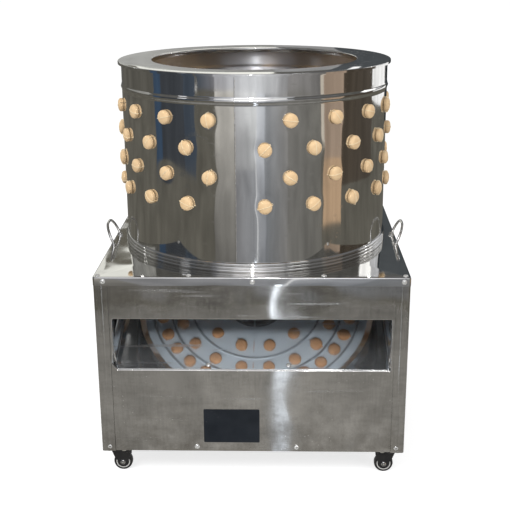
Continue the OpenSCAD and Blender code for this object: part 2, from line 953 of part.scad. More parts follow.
module motor_plate() {
    color("dimgray")
        difference() {
            translate([-motor_plate_half, motor_back - motor_flange_d / 2, motor_z - motor_plate_t])
                cube([2 * motor_plate_half, motor_flange_d, motor_plate_t]);
            translate([0, motor_back, motor_z - motor_plate_t - eps])
                cylinder(d = motor_plate_hole, h = motor_plate_t + 2 * eps);
            at_motor_bolts()
                hole(bolt_hole_d, motor_flange_t + motor_plate_t + eps);
        }
}

module motor_body() {
    color("steelblue")
        difference() {
            translate([0, motor_back, motor_z]) {
                linear_extrude(motor_flange_t)
                    rounded_rect(motor_flange_d, motor_flange_d, 18);
                translate([0, 0, motor_flange_t - eps])
                    cylinder(r = motor_shell_r, h = motor_len + eps);
                for (i = [0 : motor_fins - 1])
                    rotate([0, 0, (i + 0.5) * 360 / motor_fins])
                        translate([motor_shell_r - 2, -1.5, motor_flange_t + 6])
                            cube([motor_d / 2 - motor_shell_r + 2, 3, motor_len - 12]);
            }
            translate([0, motor_back, motor_z - eps])
                cylinder(d = motor_shaft_d + 2 * running_play, h = motor_flange_t + motor_len / 2);
            at_motor_bolts()
                hole(bolt_hole_d, motor_flange_t + eps);
        }
}

module motor_fan_cover() {
    r = motor_shell_r + 2;
    color("darkslategray")
        translate([0, motor_back, motor_top_z])
            rotate_extrude()
                polygon([[18, fan_h], [r - 8, fan_h], [r, fan_h - 8], [r, 0],
                    [r - fan_cover_t, 0], [r - fan_cover_t, fan_h - 8 - fan_cover_t / 2],
                    [r - 8, fan_h - fan_cover_t], [18, fan_h - fan_cover_t]]);
    color("darkslategray")
        translate([0, motor_back, motor_top_z])
            tube(2 * r - 2 * fan_cover_t + 0.2, 2 * motor_shell_r - 16, 0, 4);
}

module motor_terminal_box() {
    low = motor_z + motor_flange_t + terminal_up;
    color("darkslategray")
        difference() {
            translate([motor_shell_r, motor_back - terminal_w / 2, low])
                cube([terminal_deep, terminal_w, terminal_h]);
            translate([0, motor_back, motor_z])
                cylinder(d = motor_d + 2 * sheet_gap, h = motor_flange_t + motor_len);
        }
}

module drive_bolts() {
    color("gray") {
        at_housing_bolts()
            hex_bolt(bolt_d, housing_flange_t + beam_wall);
        at_motor_bolts()
            hex_bolt(bolt_d, motor_flange_t + motor_plate_t);
        at_beam_bolts()
            hex_bolt(bolt_d, sheet);
    }
}

module belt_arc(rim_d, start, span) {
    rotate([0, 0, start])
        rotate_extrude(angle = span)
            polygon(belt_section(rim_d / 2));
}

// The belt is drawn with the pulleys on the X axis and then turned to face the rear.
// Its straight runs are a hair slimmer and reach into the round ones, so it is one piece.
module drive_belt() {
    color("black")
        translate([0, 0, belt_z])
            rotate([0, 0, 90]) {
                belt_arc(pulley_d, 90 - belt_angle, 180 + 2 * belt_angle);
                translate([motor_back, 0, 0])
                    belt_arc(motor_pulley_d, belt_angle - 90, 180 - 2 * belt_angle);
                for (m = [0, 1])
                    mirror([0, m, 0])
                        rotate([0, 0, -belt_angle])
                            rotate([90, 0, 90])
                                translate([0, 0, -belt_join])
                                    linear_extrude(motor_back * cos(belt_angle) + 2 * belt_join)
                                        polygon(belt_section(pulley_d / 2, belt_slim));
            }
}

module main_shaft() {
    color("lightgray")
        difference() {
            union() {
                translate([0, 0, shaft_low])
                    cylinder(d = shaft_d, h = stud_low - shaft_low);
                translate([0, 0, stud_low - eps])
                    cylinder(d = stud_d, h = stud_top - stud_low + eps);
            }
            translate([0, 0, shaft_low - eps])
                cylinder(d = bolt_d + 2 * seat_play, h = 3 * bolt_d + eps);
        }
}

module driven_pulley() {
    color("dimgray")
        translate([0, 0, belt_z])
            rotate_extrude()
                polygon(pulley_outline(pulley_d / 2, shaft_d / 2 + seat_play, pulley_boss_d / 2,
                    pulley_web));
}

module pulley_bolt() {
    color("gray")
        translate([0, 0, shaft_low])
            rotate([180, 0, 0]) {
                cylinder(d = shaft_d + 14, h = washer_t);
                translate([0, 0, washer_t - 0.1])
                    cylinder(d = 1.9 * bolt_d, h = 0.65 * bolt_d, $fn = 6);
                translate([0, 0, -2.5 * bolt_d])
                    cylinder(d = bolt_d, h = 2.5 * bolt_d + washer_t);
            }
}

module motor_shaft() {
    color("lightgray")
        translate([0, motor_back, shaft_low])
            cylinder(d = motor_shaft_d, h = motor_z + motor_flange_t + 20 - shaft_low);
}

module motor_pulley() {
    color("dimgray")
        translate([0, motor_back, belt_z])
            rotate_extrude()
                polygon(pulley_outline(motor_pulley_d / 2, motor_shaft_d / 2 + seat_play,
                    motor_pulley_d / 2 - belt_h - belt_sink - 1 - 1, 0));
}

// Finger plate and what turns with it

module finger_plate() {
    color("lightsteelblue")
        difference() {
            union() {
                tube(2 * plate_r, stud_d + 2 * seat_play, plate_z, plate_z + plate_t);
                for (r = swage_r)
                    tube(2 * r + swage_w, 2 * r - swage_w, plate_z - swage_h, plate_z + plate_t / 2);
            }
            at_plate_ring(outer_ring_r, outer_count)
                hole(neck_d + 2 * neck_play, 2 * plate_t);
            at_plate_ring(middle_ring_r, middle_count)
                hole(neck_d + 2 * neck_play, 2 * plate_t);
            at_plate_ring(inner_ring_r, inner_count)
                hole(neck_d + 2 * neck_play, 2 * plate_t);
            at_hub_bolts()
                hole(bolt_hole_d, 2 * plate_t);
        }
}

module plate_finger_ring(r, count) {
    color("burlywood")
        at_plate_ring(r, count)
            rotate_extrude()
                polygon(finger_outline(plate_t, plate_seat));
}

module plate_fingers_inner() { plate_finger_ring(inner_ring_r, inner_count); }
module plate_fingers_middle() { plate_finger_ring(middle_ring_r, middle_count); }
module plate_fingers_outer() { plate_finger_ring(outer_ring_r, outer_count); }

module plate_hub() {
    color("slategray")
        difference() {
            union() {
                translate([0, 0, plate_z - hub_flange_t])
                    cylinder(d = hub_flange_d, h = hub_flange_t);
                translate([0, 0, plate_z - hub_len])
                    cylinder(d = hub_boss_d, h = hub_len);
            }
            translate([0, 0, plate_z - hub_len - eps])
                cylinder(d = shaft_d + 2 * seat_play, h = hub_len + 2 * eps);
            at_hub_bolts()
                hole(bolt_hole_d, plate_t + hub_flange_t + eps);
        }
}

module hub_bolts() {
    color("gray")
        at_hub_bolts()
            hex_bolt(bolt_d, plate_t + hub_flange_t);
}

module hub_nut() {
    low = plate_z + plate_t;
    color("gainsboro")
        difference() {
            union() {
                translate([0, 0, low])
                    cylinder(d = hub_nut_af + 14, h = washer_t);
                translate([0, 0, low + washer_t - 0.1])
                    cylinder(d = hub_nut_af / cos(30), h = hub_nut_h * 0.6 + 0.1, $fn = 6);
                translate([0, 0, low + washer_t + hub_nut_h * 0.6 - 0.1])
                    cylinder(d1 = hub_nut_af * 0.96, d2 = hub_nut_af * 0.5, h = hub_nut_h * 0.4);
            }
            translate([0, 0, low - eps])
                cylinder(d = stud_d + 2 * seat_play, h = stud_top - low + 1);
        }
}

// Handles, each a bent rod on two round feet, leaning outward

module handle() {
    r = rod_d / 2;
    top = handle_leg - handle_bend;
    span = handle_len / 2 - handle_bend;
    translate([cover_half - handle_in, -handle_forward, cover_top]) {
        for (s = [-1, 1])
            translate([0, s * handle_len / 2, 0])
                cylinder(r = rod_d, h = r);
        translate([0, 0, r])
            rotate([0, handle_lean, 0]) {
                for (s = [-1, 1]) {
                    translate([0, s * handle_len / 2, 0])
                        cylinder(r = r, h = top);
                    translate([0, s * handle_len / 2, 0])
                        sphere(r);
                    translate([0, s * span, top])
                        rotate([0, -90, 0])
                            rotate([0, 0, s > 0 ? 0 : -90])
                                rotate_extrude(angle = 90)
                                    translate([handle_bend, 0])
                                        circle(r);
                }
                translate([0, -span, handle_leg])
                    rotate([-90, 0, 0])
                        cylinder(r = r, h = 2 * span);
            }
    }
}

module handle_left() {
    color("gainsboro")
        mirror([1, 0, 0])
            handle();
}

module handle_right() {
    color("gainsboro")
        handle();
}

// Screws and plate

module cover_screws() {
    color("gainsboro")
        at_cover_screws()
            dome_screw(2 * sheet);
}

module skirt_screws() {
    color("gainsboro")
        at_skirt_screws()
            dome_screw(cover_over + 1.5 * sheet);
}

module panel_screws() {
    color("gainsboro")
        at_panel_screws()
            dome_screw(sheet + frame_t);
}

module label_plate() {
    color("black")
        on_front(-label_left, base_bottom + label_low + label_h / 2, front_out)
            linear_extrude(label_t)
                rounded_rect(label_w, label_h, 1);
}

// Switch box

module on_box() {
    translate([half, box_y, box_z])
        rotate([90, 0, 90])
            children();
}

module switch_box() {
    color("gray")
        difference() {
            on_box()
                linear_extrude(box_deep)
                    rounded_rect(box_w, box_h, box_round);
            on_box()
                translate([0, 0, box_wall])
                    linear_extrude(box_deep - 3 * box_wall)
                        rounded_rect(box_w - 2 * box_wall, box_h - 2 * box_wall, box_round - box_wall);
            for (s = [-1, 1])
                on_box()
                    translate([0, s * button_gap / 2, box_deep / 2])
                        cylinder(d = button_d + 2 * button_play, h = box_deep);
            translate([gland_x, box_y, box_z - box_h / 2 - eps])
                cylinder(d = gland_bore + 1, h = 2 * box_wall + eps);
        }
}

// Push button along +X: a cap that comes out of the box and a flange that holds it in
module button(z) {
    translate([button_seat - button_play - button_flange, box_y, z])
        rotate([0, 90, 0]) {
            cylinder(d = button_flange_d, h = button_flange);
            cylinder(d = button_d, h = box_face + button_proud - button_seat + button_play + button_flange);
        }
}

module start_button() {
    color("green")
        button(box_z + button_gap / 2);
}

module stop_button() {
    color("red")
        button(box_z - button_gap / 2);
}

module cable_gland() {
    top = box_z - box_h / 2;
    color("black")
        translate([gland_x, box_y, top - gland_len])
            difference() {
                union() {
                    cylinder(d = gland_d - 2, h = gland_len);
                    translate([0, 0, gland_len - gland_nut_h])
                        cylinder(d = gland_d, h = gland_nut_h - 2, $fn = 6);
                    translate([0, 0, 3])
                        cylinder(d = gland_d, h = gland_len - gland_nut_h - 5);
                }
                translate([0, 0, -eps])
                    cylinder(d = gland_bore, h = gland_len + 2 * eps);
            }
}

// Casters

module caster_plates() {
    color("dimgray")
        at_casters()
            difference() {
                union() {
                    translate([-caster_plate / 2, -caster_plate / 2, base_bottom - caster_plate_t])
                        cube([caster_plate, caster_plate, caster_plate_t]);
                    translate([0, 0, crown_low - king_gap - king_head_t])
                        cylinder(d = king_d, h = base_bottom - crown_low + king_gap + king_head_t - eps);
                    translate([0, 0, crown_low - king_gap - king_head_t])
                        cylinder(r = king_head_r, h = king_head_t);
                }
                for (x = [-1, 1], y = [-1, 1])
                    translate([x * caster_bolt_gap / 2, y * caster_bolt_gap / 2, crown_top])
                        cylinder(d = caster_bolt_d + 2 * screw_play, h = caster_plate_t + 2 * eps);
            }
}

module caster_bolts() {
    color("gray")
        at_caster_bolts() {
            cylinder(d = 1.6 * caster_bolt_d, h = 0.5 * caster_bolt_d);
            translate([0, 0, -caster_plate_t - frame_t])
                cylinder(d = caster_bolt_d, h = caster_plate_t + frame_t + 0.1);
        }
}

// One cheek of the fork, seen along the axle with the wheel's trail along +X
module fork_cheek() {
    translate([caster_trail, wheel_r]) {
        polygon([[fork_back, crown_low - wheel_r], [fork_front, crown_low - wheel_r],
            [fork_front - 1.5, boss_r + 3], [boss_r - 0.5, -2], [0.5 - boss_r, -2],
            [fork_back + 6.5, boss_r + 4]]);
        circle(boss_r);
    }
}

module caster_fork(x, y) {
    color("black")
        translate([x * caster_x, y * caster_y, 0])
            mirror([x > 0 ? 1 : 0, 0, 0])
                difference() {
                    union() {
                        translate([0, 0, crown_low])
                            cylinder(r = crown_r, h = crown_t);
                        translate([caster_trail + fork_back, -fork_in - fork_t, crown_low - bridge_t])
                            cube([fork_front - fork_back, 2 * (fork_in + fork_t), bridge_t + king_gap]);
                        for (s = [-1, 1])
                            translate([0, s * (fork_in + fork_t / 2) + fork_t / 2, 0])
                                rotate([90, 0, 0])
                                    linear_extrude(fork_t)
                                        fork_cheek();
                        translate([caster_trail, fork_in + fork_t + 2, wheel_r])
                            rotate([90, 0, 0])
                                cylinder(d = axle_d, h = 2 * (fork_in + fork_t + 2));
                    }
                    translate([0, 0, crown_low - eps])
                        cylinder(d = king_d + 2 * running_play, h = crown_t + 2 * eps);
                    translate([0, 0, crown_low - bridge_t - eps])
                        cylinder(r = king_head_r + 2 * king_gap, h = bridge_t + eps);
                }
}

module caster_fork_front_left() { caster_fork(-1, -1); }
module caster_fork_front_right() { caster_fork(1, -1); }
module caster_fork_rear_left() { caster_fork(-1, 1); }
module caster_fork_rear_right() { caster_fork(1, 1); }

// Point of the rounded tread, on the shoulder at either side of the wheel
function tread_point(a, side) = [wheel_r - tread_round + tread_round * cos(a),
    side * (wheel_w / 2 - tread_round) + tread_round * sin(a)];

module caster_wheel(x, y) {
    w = wheel_w / 2;
    bore = axle_d / 2 + running_play;
    color("black")
        translate([x * (caster_x - caster_trail), y * caster_y, wheel_r])
            rotate([90, 0, 0])
                rotate_extrude()
                    polygon(concat([[bore, -w], [6, -w], [7, -w + 1.5], [11, -w + 1.5], [12, -w]],
                        [for (a = [-80 : 20 : 0]) tread_point(a, -1)],
                        [for (a = [0 : 20 : 80]) tread_point(a, 1)],
                        [[12, w], [11, w - 1.5], [7, w - 1.5], [6, w], [bore, w]]));
}

module caster_wheel_front_left() { caster_wheel(-1, -1); }
module caster_wheel_front_right() { caster_wheel(1, -1); }
module caster_wheel_rear_left() { caster_wheel(-1, 1); }
module caster_wheel_rear_right() { caster_wheel(1, 1); }

front_panel();
rear_panel();
left_panel();
right_panel();
top_cover();
bottom_frame();
corner_posts();
drum_shell();
foot_ring();
rim_ring();
wall_fingers_row_1();
wall_fingers_row_2();
wall_fingers_row_3();
wall_fingers_row_4();
chute();
chute_screws();
shaft_guard();
bearing_beams();
motor_beams();
bearing_housing();
bearings();
shaft_seal();
motor_plate();
motor_body();
motor_fan_cover();
motor_terminal_box();
drive_bolts();
drive_belt();
handle_left();
handle_right();
cover_screws();
skirt_screws();
panel_screws();
label_plate();
switch_box();
cable_gland();
caster_plates();
caster_bolts();
finger_plate();
plate_fingers_inner();
plate_fingers_middle();
plate_fingers_outer();
plate_hub();
hub_bolts();
hub_nut();
main_shaft();
driven_pulley();
pulley_bolt();
motor_shaft();
motor_pulley();
start_button();
stop_button();
caster_fork_front_left();
caster_fork_front_right();
caster_fork_rear_left();
caster_fork_rear_right();
caster_wheel_front_left();
caster_wheel_front_right();
caster_wheel_rear_left();
caster_wheel_rear_right();
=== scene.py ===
"""Looks of the drum poultry plucker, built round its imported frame.

Every length is in metres in the frame's own axes: front is -Y, up is +Z and the floor is z = 0.
Angles round the drum are in degrees from the front, positive to the right.
Each sub-assembly is a class that holds its sizes, builds its meshes and dresses them.
"""
import logging
import math
import random
from collections.abc import Callable, Iterable, Sequence
from dataclasses import dataclass, field
from enum import Enum

import bmesh
import bpy
import numpy as np
from mathutils import Matrix, Vector
from mathutils.geometry import delaunay_2d_cdt


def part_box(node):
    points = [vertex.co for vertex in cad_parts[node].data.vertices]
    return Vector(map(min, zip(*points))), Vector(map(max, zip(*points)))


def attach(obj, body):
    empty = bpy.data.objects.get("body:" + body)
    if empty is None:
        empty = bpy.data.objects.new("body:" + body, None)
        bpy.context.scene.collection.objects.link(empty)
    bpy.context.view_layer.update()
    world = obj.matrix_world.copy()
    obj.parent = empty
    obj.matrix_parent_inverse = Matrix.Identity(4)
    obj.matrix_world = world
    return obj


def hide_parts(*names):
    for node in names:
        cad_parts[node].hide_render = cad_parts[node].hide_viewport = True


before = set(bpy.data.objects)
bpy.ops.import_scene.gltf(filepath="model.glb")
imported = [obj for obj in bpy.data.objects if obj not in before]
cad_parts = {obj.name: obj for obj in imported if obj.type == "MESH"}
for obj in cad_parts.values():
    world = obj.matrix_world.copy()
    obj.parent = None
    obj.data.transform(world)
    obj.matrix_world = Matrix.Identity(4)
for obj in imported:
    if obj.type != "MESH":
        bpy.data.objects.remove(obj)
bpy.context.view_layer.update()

LOG = logging.getLogger("plucker")
MM = 0.001
Point2 = tuple[float, float]
Colour = tuple[float, float, float]
Form = Callable[[np.ndarray, np.ndarray], np.ndarray]


class Corner(Enum):
    """The four casters: name and side signs along X and Y."""

    FRONT_LEFT = ("front_left", -1, -1)
    FRONT_RIGHT = ("front_right", 1, -1)
    REAR_LEFT = ("rear_left", -1, 1)
    REAR_RIGHT = ("rear_right", 1, 1)


class Side(Enum):
    """Outward direction of the face that a fastener sits on."""

    FRONT = (0, -1, 0)
    REAR = (0, 1, 0)
    LEFT = (-1, 0, 0)
    RIGHT = (1, 0, 0)
    TOP = (0, 0, 1)


# Shader graphs


class Graph:
    """Short hand for the nodes and links of one shader tree."""

    def __init__(self, tree: bpy.types.NodeTree) -> None:
        """Keeps the tree that nodes are added to."""
        self.tree = tree

    def add(self, kind: str, inputs: dict | None = None, **settings) -> bpy.types.Node:
        """Adds one node.

        Args:
            kind: Node type name.
            inputs: Socket name or index to a constant or to an output socket.
            **settings: Properties set on the node.

        Returns:
            The new node.
        """
        node = self.tree.nodes.new(kind)
        for name, value in settings.items():
            setattr(node, name, value)
        for key, value in (inputs or {}).items():
            self.feed(node.inputs[key], value)
        return node

    def feed(self, socket: bpy.types.NodeSocket, value: object) -> None:
        """Links an output socket to the input, or sets the input to a constant."""
        if isinstance(value, bpy.types.NodeSocket):
            self.tree.links.new(value, socket)
        elif socket.type == "RGBA" and len(value) == 3:
            socket.default_value = (*value, 1.0)
        else:
            socket.default_value = value

    def math(self, operation: str, a: object, b: object = 0.0,
             c: object = 0.0) -> bpy.types.NodeSocket:
        """Output of a math node."""
        return self.add("ShaderNodeMath", {0: a, 1: b, 2: c}, operation=operation).outputs[0]

    def span(self, value: object, low: object, high: object) -> bpy.types.NodeSocket:
        """Maps a value from a span to 0 to 1 and clamps it."""
        return self.add("ShaderNodeMapRange", {0: value, 1: low, 2: high}).outputs[0]

    def blend(self, factor: object, a: object, b: object) -> bpy.types.NodeSocket:
        """Mixes two colours."""
        return self.add("ShaderNodeMix", {0: factor, 6: a, 7: b}, data_type="RGBA").outputs[2]

    def place(self, stretch: Sequence[float] = (1, 1, 1),
              turn: Sequence[float] = (0, 0, 0)) -> bpy.types.NodeSocket:
        """Object coordinates, turned and stretched along the axes."""
        spot = self.add("ShaderNodeTexCoord").outputs["Object"]
        ends = {"Vector": spot, "Scale": stretch, "Rotation": turn}
        return self.add("ShaderNodeMapping", ends).outputs[0]

    def noise(self, vector: object, scale: object, detail: float = 3.0,
              rough: float = 0.5) -> bpy.types.NodeSocket:
        """Noise value at a place."""
        ends = {"Vector": vector, "Scale": scale, "Detail": detail, "Roughness": rough}
        return self.add("ShaderNodeTexNoise", ends).outputs[0]

    def bump(self, height: object, depth: float, under: object = None) -> bpy.types.NodeSocket:
        """Normal of a skin raised by a height, over another normal if one is given."""
        ends = {"Height": height, "Distance": depth, "Strength": 1.0}
        if under is not None:
            ends["Normal"] = under
        return self.add("ShaderNodeBump", ends).outputs[0]


class GroupLibrary:
    """Effects that several finishes share, each a node group that is made once."""

    def __init__(self) -> None:
        """Starts with no group made."""
        self.made: dict[str, bpy.types.NodeTree] = {}

    def start(self, name: str, inputs: dict[str, float], output: str) -> tuple[Graph, dict]:
        """Begins a node group.

        Args:
            name: Name of the group.
            inputs: Input names and their default values.
            output: Name of the one output value.

        Returns:
            The group's graph and its input sockets by name.
        """
        tree = bpy.data.node_groups.new(name, "ShaderNodeTree")
        for key, value in inputs.items():
            socket = tree.interface.new_socket(key, in_out="INPUT", socket_type="NodeSocketFloat")
            socket.default_value = value
        tree.interface.new_socket(output, in_out="OUTPUT", socket_type="NodeSocketFloat")
        graph = Graph(tree)
        entry = graph.add("NodeGroupInput")
        self.made[name] = tree
        return graph, {key: entry.outputs[key] for key in inputs}

    def close(self, graph: Graph, value: bpy.types.NodeSocket) -> None:
        """Sends a value out of the group."""
        graph.add("NodeGroupOutput", {0: value})

    def smears(self) -> None:
        """Hand marks and wiped dust: soft patches, Mask 0 to 1."""
        graph, ends = self.start("smears", {"Scale": 9.0, "Clear": 0.5}, "Mask")
        patch = graph.noise(graph.place(), ends["Scale"], 6.0, 0.62)
        top = graph.math("ADD", ends["Clear"], 0.22)
        self.close(graph, graph.span(patch, ends["Clear"], top))

    def specks(self) -> None:
        """Grains of dust and grit: small round spots, Mask 0 to 1."""
        graph, ends = self.start("specks", {"Scale": 180.0, "Size": 0.12, "Thin": 0.5}, "Mask")
        where = graph.place()
        cells = graph.add("ShaderNodeTexVoronoi", {"Vector": where, "Scale": ends["Scale"]})
        spot = graph.math("LESS_THAN", cells.outputs["Distance"], ends["Size"])
        here = graph.math("GREATER_THAN", graph.noise(where, 14.0, 2.0), ends["Thin"])
        self.close(graph, graph.math("MULTIPLY", spot, here))

    def stains(self) -> None:
        """Dried wash marks: patches drawn out sideways with fine upright runs, Mask 0 to 1."""
        graph, ends = self.start("stains", {"Scale": 12.0}, "Mask")
        patch = graph.noise(graph.place((0.5, 0.5, 1.4)), ends["Scale"], 8.0, 0.72)
        runs = graph.noise(graph.place((1.0, 1.0, 0.1)), 240.0, 3.0, 0.6)
        both = graph.math("MULTIPLY_ADD", runs, 0.22, graph.math("MULTIPLY", patch, 0.78))
        self.close(graph, graph.span(both, 0.45, 0.64))

    def fold_painted_shade(self) -> None:
        """Painted shade along a pressed ring about Z, strongest at the ring, Mask 0 to 1."""
        graph, ends = self.start("fold_painted_shade", {"Radius": 0.15}, "Mask")
        flat = graph.place((1.0, 1.0, 0.0))
        reach = graph.add("ShaderNodeVectorMath", {0: flat}, operation="LENGTH")
        off = graph.math("SUBTRACT", reach.outputs["Value"], ends["Radius"])
        self.close(graph, graph.span(graph.math("ABSOLUTE", off), 3 * MM, 1.2 * MM))

    def scratches(self) -> None:
        """Fine handling scratches that run two ways, Mask 0 to 1."""
        graph, ends = self.start("scratches", {"Scale": 60.0, "Thin": 0.66}, "Mask")
        top = graph.math("ADD", ends["Thin"], 0.05)
        lines = []
        for turn in ((0.3, 0.5, 0.2), (-0.5, -0.35, 0.9)):
            fine = graph.noise(graph.place((0.05, 1.0, 1.0), turn), ends["Scale"], 2.0, 0.5)
            lines.append(graph.span(fine, ends["Thin"], top))
        self.close(graph, graph.math("MAXIMUM", lines[0], lines[1]))

    def waves(self) -> None:
        """Slow unevenness of a rolled or pressed sheet, a Height."""
        graph, ends = self.start("waves", {"Scale": 7.0}, "Height")
        self.close(graph, graph.noise(graph.place(), ends["Scale"], 1.0, 0.35))

    def grain(self) -> None:
        """Fine drawn lines that run along X, a Height."""
        graph, ends = self.start("grain", {"Scale": 900.0}, "Height")
        self.close(graph, graph.noise(graph.place((0.02, 1.0, 1.0)), ends["Scale"], 2.0, 0.6))

    def low_dirt(self) -> None:
        """Dirt that gathers towards a height, Mask 0 to 1."""
        graph, ends = self.start("low_dirt", {"Clean": 0.2, "Dirty": 0.05}, "Mask")
        where = graph.place()
        high = graph.add("ShaderNodeSeparateXYZ", {0: where}).outputs[2]
        ramp = graph.span(high, ends["Clean"], ends["Dirty"])
        patch = graph.span(graph.noise(where, 26.0, 7.0, 0.68), 0.38, 0.74)
        self.close(graph, graph.math("MULTIPLY", ramp, patch))

    def mottle(self) -> None:
        """Even cloudy variation of a moulded or painted skin, Mask 0 to 1."""
        graph, ends = self.start("mottle", {"Scale": 60.0}, "Mask")
        self.close(graph, graph.span(graph.noise(graph.place(), ends["Scale"], 4.0), 0.3, 0.7))

    def use(self, graph: Graph, name: str, **values: float) -> bpy.types.NodeSocket:
        """Places a group in a material.

        Args:
            graph: The material's graph.
            name: Name of the group and of the method that makes it.
            **values: Input values by name.

        Returns:
            The group's output socket.
        """
        if name not in self.made:
            getattr(self, name)()
        node = graph.add("ShaderNodeGroup", node_tree=self.made[name])
        for key, value in values.items():
            node.inputs[key].default_value = value
        return node.outputs[0]


GROUPS = GroupLibrary()


# Finishes


def blank_material(name: str) -> tuple[bpy.types.Material, Graph, bpy.types.Node]:
    """Starts a material with one Principled shader.

    Args:
        name: Name of the material.

    Returns:
        The material, its graph and its Principled node.
    """
    material = bpy.data.materials.new(name)
    material.use_nodes = True
    skin = next(node for node in material.node_tree.nodes if node.type == "BSDF_PRINCIPLED")
    return material, Graph(material.node_tree), skin


@dataclass(frozen=True)
class SteelFinish:
    """Bare sheet or bar steel, from mirror polish to mill satin."""

    name: str
    tint: Colour
    rough: float
    smear: float = 0.05
    wave: float = 0.0
    wave_scale: float = 7.0
    grain: float = 0.0
    scratch: float = 0.15
    dust: float = 0.0
    dirt: float = 0.0
    dirt_from: float = 0.22
    metal: float = 1.0
    polish: float = 0.0
    stain: float = 0.0
    shaded_folds: tuple[float, ...] = ()

    def material(self) -> bpy.types.Material:
        """Builds the steel's material.

        Returns:
            The new material.
        """
        material, graph, skin = blank_material(self.name)
        smear = GROUPS.use(graph, "smears", Scale=11.0, Clear=0.48)
        dust = GROUPS.use(graph, "specks", Scale=85.0, Size=0.09, Thin=0.53)
        dirt = GROUPS.use(graph, "low_dirt", Clean=self.dirt_from, Dirty=0.045)
        lines = GROUPS.use(graph, "scratches", Scale=70.0, Thin=0.67)
        dull = tuple(channel * 0.88 for channel in self.tint)
        colour = graph.blend(graph.math("MULTIPLY", smear, 0.6), self.tint, dull)
        if self.stain:
            wash = graph.math("MULTIPLY", GROUPS.use(graph, "stains", Scale=12.0), self.stain)
            colour = graph.blend(wash, colour, tuple(channel * 0.45 for channel in self.tint))
        # Each pressed ring listed for the finish darkens the colour to 0.3 of the tint: painted
        # shade along the swages.
        for radius in self.shaded_folds:
            fold_shade_mask = GROUPS.use(graph, "fold_painted_shade", Radius=radius)
            colour = graph.blend(fold_shade_mask, colour, tuple(channel * 0.3 for channel in self.tint))
        colour = graph.blend(graph.math("MULTIPLY", dirt, self.dirt), colour, (0.17, 0.15, 0.12))
        colour = graph.blend(graph.math("MULTIPLY", dust, self.dust), colour, (0.80, 0.79, 0.76))
        graph.feed(skin.inputs["Base Color"], colour)
        skin.inputs["Metallic"].default_value = self.metal
        rough = graph.math("MULTIPLY_ADD", smear, self.smear, self.rough)
        rough = graph.math("MULTIPLY_ADD", dirt, 0.30 * self.dirt, rough)
        rough = graph.math("MULTIPLY_ADD", lines, self.scratch, rough)
        graph.feed(skin.inputs["Roughness"], rough)
        normal = None
        if self.wave:
            height = GROUPS.use(graph, "waves", Scale=self.wave_scale)
            normal = graph.bump(height, self.wave)
        if self.grain:
            height = GROUPS.use(graph, "grain", Scale=1100.0)
            normal = graph.bump(height, self.grain, normal)
        if normal is not None:
            graph.feed(skin.inputs["Normal"], normal)
        if self.polish:
            skin.inputs["Anisotropic"].default_value = self.polish
            skin.inputs["Anisotropic Rotation"].default_value = 0.25
            around = graph.add("ShaderNodeTangent", direction_type="RADIAL", axis="Z")
            graph.feed(skin.inputs["Tangent"], around.outputs[0])
        return material


@dataclass(frozen=True)
class MouldedFinish:
    """Rubber, plastic, casting or paint: a coloured skin with cloudy variation and fine pits."""

    name: str
    tint: Colour
    shade: Colour
    rough: float
    metal: float = 0.0
    mottle_scale: float = 70.0
    pit: float = 0.00004
    pit_scale: float = 900.0
    dust: float = 0.0
    coat: float = 0.0
    gloss: float = 0.5

    def material(self) -> bpy.types.Material:
        """Builds the moulded skin's material.

        Returns:
            The new material.
        """
        material, graph, skin = blank_material(self.name)
        cloud = GROUPS.use(graph, "mottle", Scale=self.mottle_scale)
        dust = GROUPS.use(graph, "specks", Scale=260.0, Size=0.11, Thin=0.55)
        colour = graph.blend(cloud, self.tint, self.shade)
        colour = graph.blend(graph.math("MULTIPLY", dust, self.dust), colour, (0.55, 0.53, 0.48))
        graph.feed(skin.inputs["Base Color"], colour)
        graph.feed(skin.inputs["Roughness"], graph.math("MULTIPLY_ADD", cloud, 0.12, self.rough))
        skin.inputs["Metallic"].default_value = self.metal
        skin.inputs["Coat Weight"].default_value = self.coat
        skin.inputs["Specular IOR Level"].default_value = self.gloss
        pits = GROUPS.use(graph, "mottle", Scale=self.pit_scale)
        graph.feed(skin.inputs["Normal"], graph.bump(pits, self.pit))
        return material


Finish = SteelFinish | MouldedFinish

SWAGES = (136 * MM, 179 * MM, 214.5 * MM)

MIRROR = SteelFinish("mirror_sheet", (0.74, 0.735, 0.72), 0.055, 0.05, 0.0020, 8.0,
                     scratch=0.08, dust=0.3)
COVER = SteelFinish("cover_sheet", (0.74, 0.735, 0.72), 0.05, 0.04, 0.0022, 9.0,
                    scratch=0.08, dust=0.4)
INSIDE = SteelFinish("drum_inside", (0.74, 0.74, 0.75), 0.33, 0.05, 0.0006, 6.0, scratch=0.1,
                     polish=0.98)
SATIN = SteelFinish("satin_sheet", (0.69, 0.675, 0.645), 0.085, 0.07, 0.0030, 9.0, 0.00001,
                    scratch=0.18, dust=1.0, dirt=0.75, stain=0.5)
CHUTE = SteelFinish("chute_sheet", (0.70, 0.72, 0.74), 0.045, 0.04, 0.0006, 8.0, dust=0.3,
                    metal=0.92)
